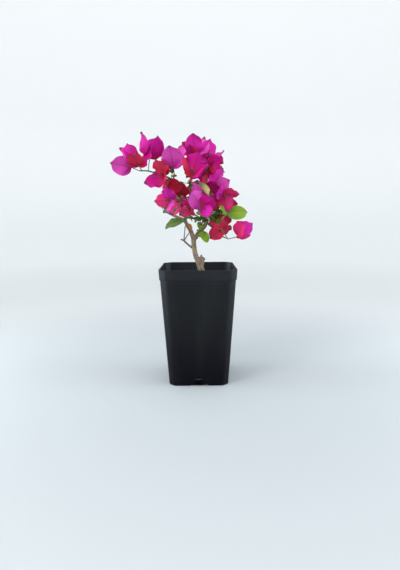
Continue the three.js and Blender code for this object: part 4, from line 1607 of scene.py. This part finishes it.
class StageSettings(bpy.types.PropertyGroup):
    """Backdrop, lights and camera"""

    # From near to high: painted shade round the pot, painted light high up
    near: colour_property("Near floor", "The plain pale floor round the pot", (173, 178, 181))
    floor: colour_property("Floor", "The same further away", (201, 205, 207))
    wall: colour_property("Wall", "The plain pale wall that it sweeps up into", (222, 225, 227))
    high: colour_property("High wall", "The same higher up", (240, 241, 241))
    sky: colour_property("Sky", "Soft light from all round", (246, 249, 251))
    sky_strength: FloatProperty(name="Sky strength", description="Its strength", default=1.5)
    key_power: FloatProperty(
        name="Key light", description="Power that the key and side lamps share", default=24, unit="POWER"
    )
    fill_power: FloatProperty(
        name="Fill light", description="Power of the fill lamp", default=5, unit="POWER"
    )
    radius: FloatProperty(
        name="Radius", description="Half the floor's width", default=3.2, unit="LENGTH"
    )
    lens: FloatProperty(name="Lens", description="Focal length in millimetres", default=27.07)


SETTINGS = {
    "pot": PotSettings,
    "soil": SoilSettings,
    "wood": WoodSettings,
    "stems": StemSettings,
    "blossom": BlossomSettings,
    "leaves": LeafSettings,
    "stage": StageSettings,
}


def settings_of(context, name):
    return getattr(context.scene, "bougainvillea_" + name)


# The pot


def arc(start, corner, end):
    """Points on a rounded corner."""
    line = []
    for i in range(CORNER_STEPS + 1):
        t = i / CORNER_STEPS
        line.append(start * (1 - t) ** 2 + corner * 2 * t * (1 - t) + end * t * t)
    return line


def pot_outline(bow=0.0):
    """The pot's outline at half a side of 1: a square with cut and rounded corners."""
    cut = 2 * CORNER_CUT / POT_TOP
    rounding = 2 * CORNER_ROUND / POT_TOP
    slant = rounding * math.sqrt(0.5)
    flat = 1 - cut - rounding
    first = arc(Vector((1, flat)), Vector((1, 1 - cut)), Vector((1 - slant, 1 - cut + slant)))
    second = arc(Vector((1 - cut + slant, 1 - slant)), Vector((1 - cut, 1)), Vector((flat, 1)))
    side = []
    for i in range(1, SIDE_STEPS):
        across = lerp(flat, -flat, i / SIDE_STEPS)
        side.append(Vector((across, 1 - bow * (1 - (across / flat) ** 2))))
    quarter = [*first, *second, *side]
    outline = []
    for turn in range(4):
        spin = Matrix.Rotation(math.radians(90 * turn), 2)
        outline += [spin @ point for point in quarter]
    return outline


def ring_at(made, outline, half, rise):
    """A ring of points along the outline. rise: the height at x and y."""
    loop = []
    for point in outline:
        x = point.x * half
        y = point.y * half
        loop.append(made.verts.new(Vector((x, y, rise(x, y))) * MM))
    return loop


def level(height):
    return lambda x, y: height


def ring_lathe(made, profile, outline):
    """A closed body whose rings follow the outline. profile: (half a side, height), foot to top."""
    loops = [ring_at(made, outline, half, level(height)) for half, height in profile]
    bridge(made, loops)
    fan(made, loops[0][::-1], made.verts.new(Vector((0, 0, profile[0][1])) * MM))
    fan(made, loops[-1], made.verts.new(Vector((0, 0, profile[-1][1])) * MM))


def pot_half(height):
    """Half a side of the pot's wall at a height."""
    top = POT_TOP / 2 - COLLAR_STEP - COLLAR_FLARE
    return lerp(POT_BOTTOM / 2, top, height / (POT_HEIGHT - COLLAR_HEIGHT))


def pot_profile():
    """The wall from the middle of the foot, up the outside, over the rim and down the inside."""
    rim = POT_TOP / 2
    foot = POT_BOTTOM / 2
    collar = POT_HEIGHT - COLLAR_HEIGHT
    out = pot_half(collar) + COLLAR_STEP
    low, high, inside = UNDER_COLLAR
    return [
        (foot / 2, 0),
        *[(foot - inset, rise) for inset, rise in FOOT_EDGE],
        *[(pot_half(height), height) for height in (*WALL_HEIGHTS, collar - low)],
        (pot_half(collar), collar - high),
        *[(out - inset, collar + rise) for inset, rise in STEP_EDGE],
        (lerp(out, rim, 0.5), collar + COLLAR_HEIGHT / 2),
        *[(rim - inset, POT_HEIGHT - drop) for inset, drop in RIM_EDGE],
        *[(rim - POT_WALL + outset, POT_HEIGHT - drop) for outset, drop in RIM_INSIDE],
        *[(out - POT_WALL - inset, collar + rise) for inset, rise in STEP_INSIDE],
        (pot_half(collar) - POT_WALL, collar - inside),
        *[(pot_half(height) - POT_WALL, height) for height in INNER_HEIGHTS],
        (pot_half(POT_FLOOR) - POT_WALL, POT_FLOOR),
        (foot / 2, POT_FLOOR),
    ]


def box_into(made, size, centre):
    spot = Matrix.Translation(Vector(centre) * MM) @ Matrix.Diagonal((*(Vector(size) * MM), 1))
    bmesh.ops.create_cube(made, size=1, matrix=spot)


def slot_cutters():
    """The drain slots and the shallow arches, as one mesh that is cut from the pot."""
    cutters = bmesh.new()
    foot = POT_BOTTOM / 2
    slot_size = (SLOT["width"], SLOT["depth"], SLOT["height"])
    arch_size = (ARCH["width"], 2 * ARCH["depth"], 2 * ARCH["height"])
    for side in range(4):
        part = bmesh.new()
        box_into(part, slot_size, (0, -foot, SLOT["sill"] + SLOT["height"] / 2))
        box_into(part, arch_size, (0, -foot, 0))
        bmesh.ops.rotate(part, verts=part.verts, matrix=Matrix.Rotation(math.pi / 2 * side, 3, "Z"))
        mesh = mesh_of(part, "cutter")
        cutters.from_mesh(mesh)
        bpy.data.meshes.remove(mesh)
    return form_object("cutters", cutters)


def slot_lip(made, side, lip_highlight):
    """A half-round moulded lip over a drain slot, with its painted highlight written in a layer."""
    height = SLOT["sill"] + SLOT["height"] + LIP["above"]
    spin = Matrix.Rotation(math.pi / 2 * side, 4, "Z")
    out = pot_half(height)
    loops = []
    for i in range(LIP["steps"] + 1):
        share = 2 * i / LIP["steps"] - 1
        across = lerp(-LIP["width"] / 2, LIP["width"] / 2, i / LIP["steps"])
        radius = LIP["radius"] * max(math.sqrt(1 - share**6), LIP["least"])
        loop = []
        for j in range(LIP["sides"]):
            angle = math.tau * j / LIP["sides"]
            place = Vector((across, -out - radius * math.cos(angle), height + radius * math.sin(angle)))
            corner = made.verts.new(spin @ (place * MM))
            corner[lip_highlight] = 1 - share**2
            loop.append(corner)
        loops.append(loop)
    bridge(made, loops)
    made.faces.new(loops[0][::-1])
    made.faces.new(loops[-1])


class BOUGAINVILLEA_OT_pot(bpy.types.Operator):
    """Builds the square nursery pot with its collar and drain slots"""

    bl_idname = "bougainvillea.pot"
    bl_label = "Pot"

    def execute(self, context):
        settings = settings_of(context, "pot")
        bow = settings.bow / MM / (POT_TOP / 2)
        made = bmesh.new()
        ring_lathe(made, pot_profile(), pot_outline(bow))
        bmesh.ops.recalc_face_normals(made, faces=made.faces)
        shell = mesh_of(made, "shell")
        cutters = slot_cutters()

        def change(helper):
            cut = helper.modifiers.new("slots", "BOOLEAN")
            cut.object = cutters
            cut.solver = "EXACT"

        walls = evaluated(shell, change)
        bpy.data.objects.remove(cutters)
        made = bmesh.new()
        made.from_mesh(walls)
        # The painted highlight along the lips
        lip_highlight = made.verts.layers.float.new("lip_highlight")
        for side in range(4):
            slot_lip(made, side, lip_highlight)
        bmesh.ops.recalc_face_normals(made, faces=made.faces)
        mesh = mesh_of(made, "pot_shell", SHARP["pot"])
        show("pot_shell", mesh, plastic_finish(settings), "pot_plastic", "pot")
        return {"FINISHED"}


# The potting mix


def soil_edge():
    return pot_half(SOIL_LEVEL) - POT_WALL - GAP


def soil_height(half, uneven):
    """The surface's height on a ring, at x and y: waves, the bank at the wall, and lumps."""
    edge = soil_edge()
    calm = eased((edge - half) / SOIL_EDGE_CALM["reach"])
    full = lerp(SOIL_EDGE_CALM["least"], 1, calm)

    def height_at(x, y):
        rise = 0
        if half > FLAT_FOOT:
            rise = SOIL_BANK * (half - FLAT_FOOT) / (edge - FLAT_FOOT)
            rise += sum(SOIL_WAVE_HEIGHT * math.sin(x / a + y / b) for a, b in SOIL_WAVES)
        place = Vector((x, y, 0)) * SOIL_LUMPS["scale"]
        lumps = noise.fractal(place, *SOIL_LUMPS["octaves"])
        return SOIL_LEVEL + (rise + uneven * lumps * full)

    return height_at


def soil_top(made, uneven, outline, limit):
    """The mix's upper surface out to a limit, as rings and a centre. Returns its outer ring."""
    loops = []
    for ring in range(SOIL_RINGS, 0, -1):
        half = limit * ring / SOIL_RINGS
        loops.append(ring_at(made, outline, half, soil_height(half, uneven)))
    bridge(made, loops)
    fan(made, loops[-1], made.verts.new(Vector((0, 0, SOIL_LEVEL)) * MM))
    return loops[0]


class BOUGAINVILLEA_OT_soil(bpy.types.Operator):
    """Builds the potting mix with its crumbs, bark chips and perlite"""

    bl_idname = "bougainvillea.soil"
    bl_label = "Potting mix"

    def execute(self, context):
        settings = settings_of(context, "soil")
        uneven = settings.roughness / MM
        outline = pot_outline()
        finishes = {
            "mix_crumbs": earth_finish(
                "potting_mix_earth", "mix", settings.mix, settings.mix_dark, deep=True
            ),
            "mix_chips": earth_finish("bark_chips", "chips", settings.chips, settings.mix_dark),
            "mix_perlite": earth_finish("perlite_white", "perlite", settings.perlite, settings.chips),
        }
        self.fill(uneven, outline, finishes["mix_crumbs"])
        self.strew(settings, uneven, outline, finishes)
        self.drain_grains(settings, finishes["mix_perlite"])
        return {"FINISHED"}

    def fill(self, uneven, outline, earth):
        """The mix itself, clear of the pot's walls and floor."""
        made = bmesh.new()
        top = soil_top(made, uneven, outline, soil_edge())
        floor = POT_FLOOR + GAP
        clear = POT_WALL + GAP
        waist = ring_at(made, outline, pot_half(SOIL_WAIST) - clear, level(SOIL_WAIST))
        foot = ring_at(made, outline, pot_half(floor) - clear, level(floor))
        bridge(made, [foot, waist, top])
        fan(made, foot[::-1], made.verts.new(Vector((0, 0, floor)) * MM))
        show("mix_bed", mesh_of(made, "mix_bed", SHARP["mix"]), earth, "potting_mix", "soil")

    def strew(self, settings, uneven, outline, finishes):
        """Crumbs, bark chips and white grains strewn on the mix."""
        tree = scatter_tree()
        for index, (name, (stretch, detail, share, sizes)) in enumerate(STREWN.items()):
            small, large = sizes
            made = bmesh.new()
            soil_top(made, uneven, outline, soil_edge() - large)
            form = lump_form(name + "_form", stretch, LUMP["seed"] * (index + 1), detail)
            values = {
                "Form": form,
                "Density": settings.crumbs * share,
                "Smallest": small,
                "Largest": large,
                "Seed": settings.seed + index,
                "Material": finishes[name],
            }
            mesh = run_tree(tree, mesh_of(made, "field"), values)
            bpy.data.objects.remove(form)
            show(name, mesh, finishes[name], "potting_mix")

    def drain_grains(self, settings, white):
        """A few white grains caught at the ends of the arches under the pot."""
        stream = seeded(settings.seed + GRAIN["seed"])
        places = []
        for side in range(4):
            spin = Matrix.Rotation(math.pi / 2 * side, 3, "Z")
            for end in (-1, 1):
                for _ in range(GRAIN["each"]):
                    across = end * between(GRAIN["across"], stream)
                    size = between(GRAIN["size"], stream)
                    out = POT_BOTTOM / 2 - 1 + next(stream)
                    spot = Vector((across, -out, size * GRAIN["sunk"]))
                    way = Vector((next(stream) - 0.5, next(stream) - 0.5, 1)).normalized()
                    places.append((spin @ spot, way, size, "stalk"))
        mesh = copy_mesh(lump_form("grain_form", *GRAIN_FORM), places, white)
        show("drain_grains", mesh, white, "potting_mix")


# Trunk and boughs


def ring_frames(points):
    """Two directions across a line at each of its points, carried along without a twist."""
    frames = []
    aside = None
    for i in range(len(points)):
        ahead = (points[min(i + 1, len(points) - 1)] - points[max(i - 1, 0)]).normalized()
        aside = aside or ahead.orthogonal()
        aside = (aside - ahead * aside.dot(ahead)).normalized()
        frames.append((aside, ahead.cross(aside)))
    return frames


def limb_tube(made, points, radii):
    """A closed tube round the points."""
    loops = []
    for point, radius, (aside, other) in zip(points, radii, ring_frames(points)):
        loop = []
        for i in range(LIMB_PARTS["sides"]):
            angle = math.tau * i / LIMB_PARTS["sides"]
            place = point + (aside * math.cos(angle) + other * math.sin(angle)) * radius
            loop.append(made.verts.new(place * MM))
        loops.append(loop)
    bridge(made, loops)
    made.faces.new(loops[0][::-1])
    made.faces.new(loops[-1])


def limb_lines():
    """Each limb as closely spaced points with their radii."""
    lines = []
    for points, radii in LIMBS + KNOBS:
        route = Route(points)
        count = max(int(route.length() / LIMB_PARTS["length"]), LIMB_PARTS["least"])
        spans = np.linspace(0, len(radii) - 1, count + 1)
        sizes = np.interp(spans, range(len(radii)), radii)
        lines.append((route.evenly(count), list(sizes)))
    return lines


def limb_frames(lines):
    """At each point of the limbs: two directions across, and how far along the limbs it lies."""
    ways = []
    travelled = []
    for number, (points, _) in enumerate(lines):
        reach = BARK["apart"] * number
        for i, across in enumerate(ring_frames(points)):
            reach += (points[i] - points[i - 1]).length if i else 0
            ways.append(across)
            travelled.append(reach)
    return ways, travelled


def read_vectors(items, word):
    """A vector from each item of a mesh, as rows."""
    values = np.zeros(len(items) * 3)
    items.foreach_get(word, values)
    return values.reshape(-1, 3)


def knot_at(angle, reach, size):
    """How far the knots lift the bark there, in millimetres."""
    wave = reach * KNOT["pace"] + KNOT["sway"] * math.sin(reach * KNOT["slow"])
    side = 0.5 + 0.5 * math.cos(angle - reach * KNOT["spiral"])
    return KNOT["height"] * math.sin(wave) ** KNOT["power"] * side * size / KNOT["radius"]


def bark_relief(mesh, lines, depth):
    """Moves the skin's points by the bark's furrows and knots, and writes where each one lies."""
    axis = np.array([tuple(point) for points, _ in lines for point in points])
    sizes = np.array([size for _, radii in lines for size in radii])
    ways, travelled = limb_frames(lines)
    skin = read_vectors(mesh.vertices, "co") / MM
    normals = read_vectors(mesh.vertex_normals, "vector")
    grains = np.zeros((len(skin), 3))
    reliefs = np.zeros(len(skin))
    for i, place in enumerate(skin):
        near = int(np.argmin(np.linalg.norm(axis - place, axis=1) - sizes))
        aside, other = ways[near]
        off = Vector(place - axis[near])
        angle = math.atan2(off.dot(other), off.dot(aside))
        size = sizes[near]
        reach = travelled[near]
        grain = (math.cos(angle) * size, math.sin(angle) * size, reach * BARK["stretch"])
        furrow = noise.fractal(Vector(grain) * BARK["scale"], *BARK["octaves"])
        grains[i] = grain
        reliefs[i] = furrow * FURROW["shade"]
        move = furrow * depth * min(size / FURROW["radius"], FURROW["most"])
        skin[i] = place + normals[i] * (move + knot_at(angle, reach, size))
    mesh.vertices.foreach_set("co", (skin * MM).ravel())
    write_attribute(mesh, "grain", "FLOAT_VECTOR", grains)
    write_attribute(mesh, "relief", "FLOAT", reliefs)
    mesh.update()


class BOUGAINVILLEA_OT_wood(bpy.types.Operator):
    """Builds the forked trunk and the boughs as one skin with the bark's relief"""

    bl_idname = "bougainvillea.wood"
    bl_label = "Trunk and boughs"

    def execute(self, context):
        settings = settings_of(context, "wood")
        lines = limb_lines()
        made = bmesh.new()
        for points, radii in lines:
            limb_tube(made, points, radii)

        def change(helper):
            skin = helper.modifiers.new("skin", "REMESH")
            skin.mode = "VOXEL"
            skin.voxel_size = settings.cell
            soft = helper.modifiers.new("soft", "SMOOTH")
            soft.iterations = BARK_SMOOTHING["rounds"]
            soft.factor = BARK_SMOOTHING["factor"]

        mesh = evaluated(mesh_of(made, "tubes"), change)
        mesh.name = "bark_skin"
        bark_relief(mesh, lines, settings.relief / MM)
        mesh.shade_smooth()
        show("bark_skin", mesh, bark_finish(settings), "bark", *nodes_in("bark"))
        return {"FINISHED"}


# Stems, blossom and leaves


class BOUGAINVILLEA_OT_stems(bpy.types.Operator):
    """Builds the thin stems and stalks with their thorns and buds"""

    bl_idname = "bougainvillea.stems"
    bl_label = "Stems"

    def execute(self, context):
        settings = settings_of(context, "stems")
        plant = grow()
        finish = stem_finish(settings)
        values = {"Sides": settings.sides, "Material": finish}
        stems = run_tree(stem_tree(), lines_mesh(plant.stems), values)
        show("thin_stems", stems, finish, "twig", *nodes_in("twig"))
        places = [(*place, "stalk") for place in plant.thorns]
        thorns = copy_mesh(turned_form("thorn_form", **THORN_FORM), places, finish)
        show("thorns", thorns, finish, "twig")
        buds = copy_mesh(turned_form("bud_form", **BUD_FORM), plant.buds, finish)
        show("buds", buds, finish, "twig")
        return {"FINISHED"}


class BOUGAINVILLEA_OT_blossom(bpy.types.Operator):
    """Builds the papery bracts and the flower tubes at their heart"""

    bl_idname = "bougainvillea.blossom"
    bl_label = "Blossom"

    def execute(self, context):
        settings = settings_of(context, "blossom")
        plant = grow()
        skin = Skin()
        for bract in plant.bracts:
            add_blade(skin, BRACT, bract)
        show("bracts", skin.mesh("bracts"), bract_finish(settings), "blossom", *nodes_in("blossom"))
        places = [(*place, "calyx") for place in plant.flowers]
        finish = flower_finish(settings)
        tubes = copy_mesh(turned_form("tube_form", **TUBE_FORM), places, finish)
        show("flower_tubes", tubes, finish, "blossom")
        return {"FINISHED"}


class BOUGAINVILLEA_OT_leaves(bpy.types.Operator):
    """Builds the leaves, large and small"""

    bl_idname = "bougainvillea.leaves"
    bl_label = "Leaves"

    def execute(self, context):
        settings = settings_of(context, "leaves")
        plant = grow()
        skin = Skin()
        for leaf in plant.leaves:
            add_blade(skin, LEAF, leaf)
        show("leaves", skin.mesh("leaves"), leaf_finish(settings), "foliage", *nodes_in("foliage"))
        return {"FINISHED"}


# The stage, in metres

# The backdrop: its curve up and its inner ring as shares of its radius, and how finely it is drawn
BACKDROP = {"cove": 0.35, "centre": 0.02, "steps": 12, "sides": 96, "below": 0.0002}
BACKDROP_SHINE = {"Roughness": 0.9, "Specular IOR Level": 0.1}

# Where each colour of the backdrop takes over from the one before, as distances from the pot. It is
# darker round the pot, where the lamps light the floor most, and paler far off and high up: painted
# shade and light.
BACKDROP_FADES = {"floor": (0.2, 0.8), "wall": (0.8, 2.4), "high": (2.6, 3.5)}

# The lamps: place, what they are aimed at, width, the setting with their power and their share of
# it, colour, and spread in degrees
PLANT_SPOT = (0, 0, 0.25)
POT_SPOT = (0, 0, 0.12)
LAMPS = {
    "key": ((-0.75, -0.7, 1.0), PLANT_SPOT, 0.6, "key_power", 0.3, (1, 0.98, 0.95), 180),
    "side": ((-0.95, 0, 0.27), POT_SPOT, 0.5, "key_power", 0.06, (0.75, 0.87, 1), 70),
    "far_side": ((0.95, 0, 0.27), POT_SPOT, 0.5, "key_power", 0.035, (0.7, 0.85, 1), 70),
    "fill": ((1.3, -0.4, 0.9), PLANT_SPOT, 0.9, "fill_power", 1, (0.96, 0.98, 1), 180),
}

# The camera that was fitted to the pot: place in millimetres, tilt and roll in degrees
CAMERA = {"place": (3.2, -745.6, 286.6), "tilt": 80.812, "roll": -0.446}


def backdrop_mesh(settings):
    """A round floor that sweeps up into a wall, so that no horizon shows from any side."""
    radius = settings.radius
    cove = radius * BACKDROP["cove"]
    rings = [(radius * BACKDROP["centre"], 0), (radius - cove, 0)]
    for i in range(1, BACKDROP["steps"] + 1):
        angle = math.pi / 2 * i / BACKDROP["steps"]
        rings.append((radius - cove + cove * math.sin(angle), cove - cove * math.cos(angle)))
    rings.append((radius, radius))
    made = bmesh.new()
    loops = []
    for ring, height in rings:
        loop = []
        for i in range(BACKDROP["sides"]):
            angle = math.tau * i / BACKDROP["sides"]
            place = (ring * math.cos(angle), ring * math.sin(angle), height - BACKDROP["below"])
            loop.append(made.verts.new(place))
        loops.append(loop)
    bridge(made, loops)
    made.faces.new(loops[0])
    bmesh.ops.recalc_face_normals(made, faces=made.faces)
    mesh = mesh_of(made, "backdrop")
    mesh.shade_smooth()
    return mesh


def backdrop_finish(settings):
    """A plain pale colour, painted darker round the pot and paler far off and high up: painted shade and
    light.
    """
    made, tree, shader = new_material("pale_backdrop")
    away = add(tree, "ShaderNodeVectorMath", {0: object_place(tree)}, operation="LENGTH")
    colour = settings.near
    for name, (start, end) in BACKDROP_FADES.items():
        fade = remap(tree, away.outputs["Value"], start, end)
        colour = mixed(tree, fade, colour, getattr(settings, name))
    tree.links.new(colour, shader.inputs["Base Color"])
    for socket, value in BACKDROP_SHINE.items():
        shader.inputs[socket].default_value = value
    return made


def add_lamp(settings, name, place, aim, width, power, share, colour, spread):
    data = bpy.data.lights.new(name, "AREA")
    data.shape = "DISK"
    data.size = width
    data.energy = getattr(settings, power) * share
    data.color = colour
    data.spread = math.radians(spread)
    lamp = link_new(name, data)
    lamp.location = place
    lamp.rotation_euler = (Vector(aim) - Vector(place)).to_track_quat("-Z", "Y").to_euler()
    lamp.visible_camera = False


class BOUGAINVILLEA_OT_stage(bpy.types.Operator):
    """Builds the plain pale backdrop, the soft lights and the camera"""

    bl_idname = "bougainvillea.stage"
    bl_label = "Stage"

    def execute(self, context):
        settings = settings_of(context, "stage")
        mesh = backdrop_mesh(settings)
        mesh.materials.append(backdrop_finish(settings))
        backdrop = link_new("backdrop", mesh)

        world = bpy.data.worlds.new("soft_sky")
        context.scene.world = world
        world.use_nodes = True
        light = world.node_tree.nodes["Background"]
        light.inputs["Color"].default_value = (*settings.sky, 1)
        light.inputs["Strength"].default_value = settings.sky_strength
        for name, lamp in LAMPS.items():
            add_lamp(settings, name, *lamp)

        data = bpy.data.cameras.new("camera")
        data.lens = settings.lens
        camera = link_new("camera", data)
        camera.location = Vector(CAMERA["place"]) * MM
        tilt = Matrix.Rotation(math.radians(CAMERA["tilt"]), 3, "X")
        roll = Matrix.Rotation(math.radians(CAMERA["roll"]), 3, "Z")
        camera.rotation_euler = (tilt @ roll).to_euler()
        context.scene.camera = camera
        context.scene.view_settings.view_transform = "Standard"
        return {"FINISHED"}


OPERATORS = (
    BOUGAINVILLEA_OT_stage,
    BOUGAINVILLEA_OT_pot,
    BOUGAINVILLEA_OT_soil,
    BOUGAINVILLEA_OT_wood,
    BOUGAINVILLEA_OT_stems,
    BOUGAINVILLEA_OT_blossom,
    BOUGAINVILLEA_OT_leaves,
)


class BOUGAINVILLEA_PT_parts(bpy.types.Panel):
    """Lists the pieces in the order in which they are built"""

    bl_label = "Bougainvillea"
    bl_space_type = "VIEW_3D"
    bl_region_type = "UI"
    bl_category = "Bougainvillea"

    def draw(self, context):
        for operator in OPERATORS:
            self.layout.operator(operator.bl_idname)
        for name, group in SETTINGS.items():
            box = self.layout.box()
            box.label(text=group.__doc__)
            for setting in group.__annotations__:
                box.prop(settings_of(context, name), setting)


def register():
    for name, group in SETTINGS.items():
        bpy.utils.register_class(group)
        setattr(bpy.types.Scene, "bougainvillea_" + name, PointerProperty(type=group))
    for operator in OPERATORS:
        bpy.utils.register_class(operator)
    bpy.utils.register_class(BOUGAINVILLEA_PT_parts)


def unregister():
    bpy.utils.unregister_class(BOUGAINVILLEA_PT_parts)
    for operator in reversed(OPERATORS):
        bpy.utils.unregister_class(operator)
    for name, group in SETTINGS.items():
        delattr(bpy.types.Scene, "bougainvillea_" + name)
        bpy.utils.unregister_class(group)


def main():
    register()
    bpy.ops.bougainvillea.stage()
    bpy.ops.bougainvillea.pot()
    bpy.ops.bougainvillea.soil()
    bpy.ops.bougainvillea.wood()
    bpy.ops.bougainvillea.stems()
    bpy.ops.bougainvillea.blossom()
    bpy.ops.bougainvillea.leaves()
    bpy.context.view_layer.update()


if __name__ == "__main__":
    main()
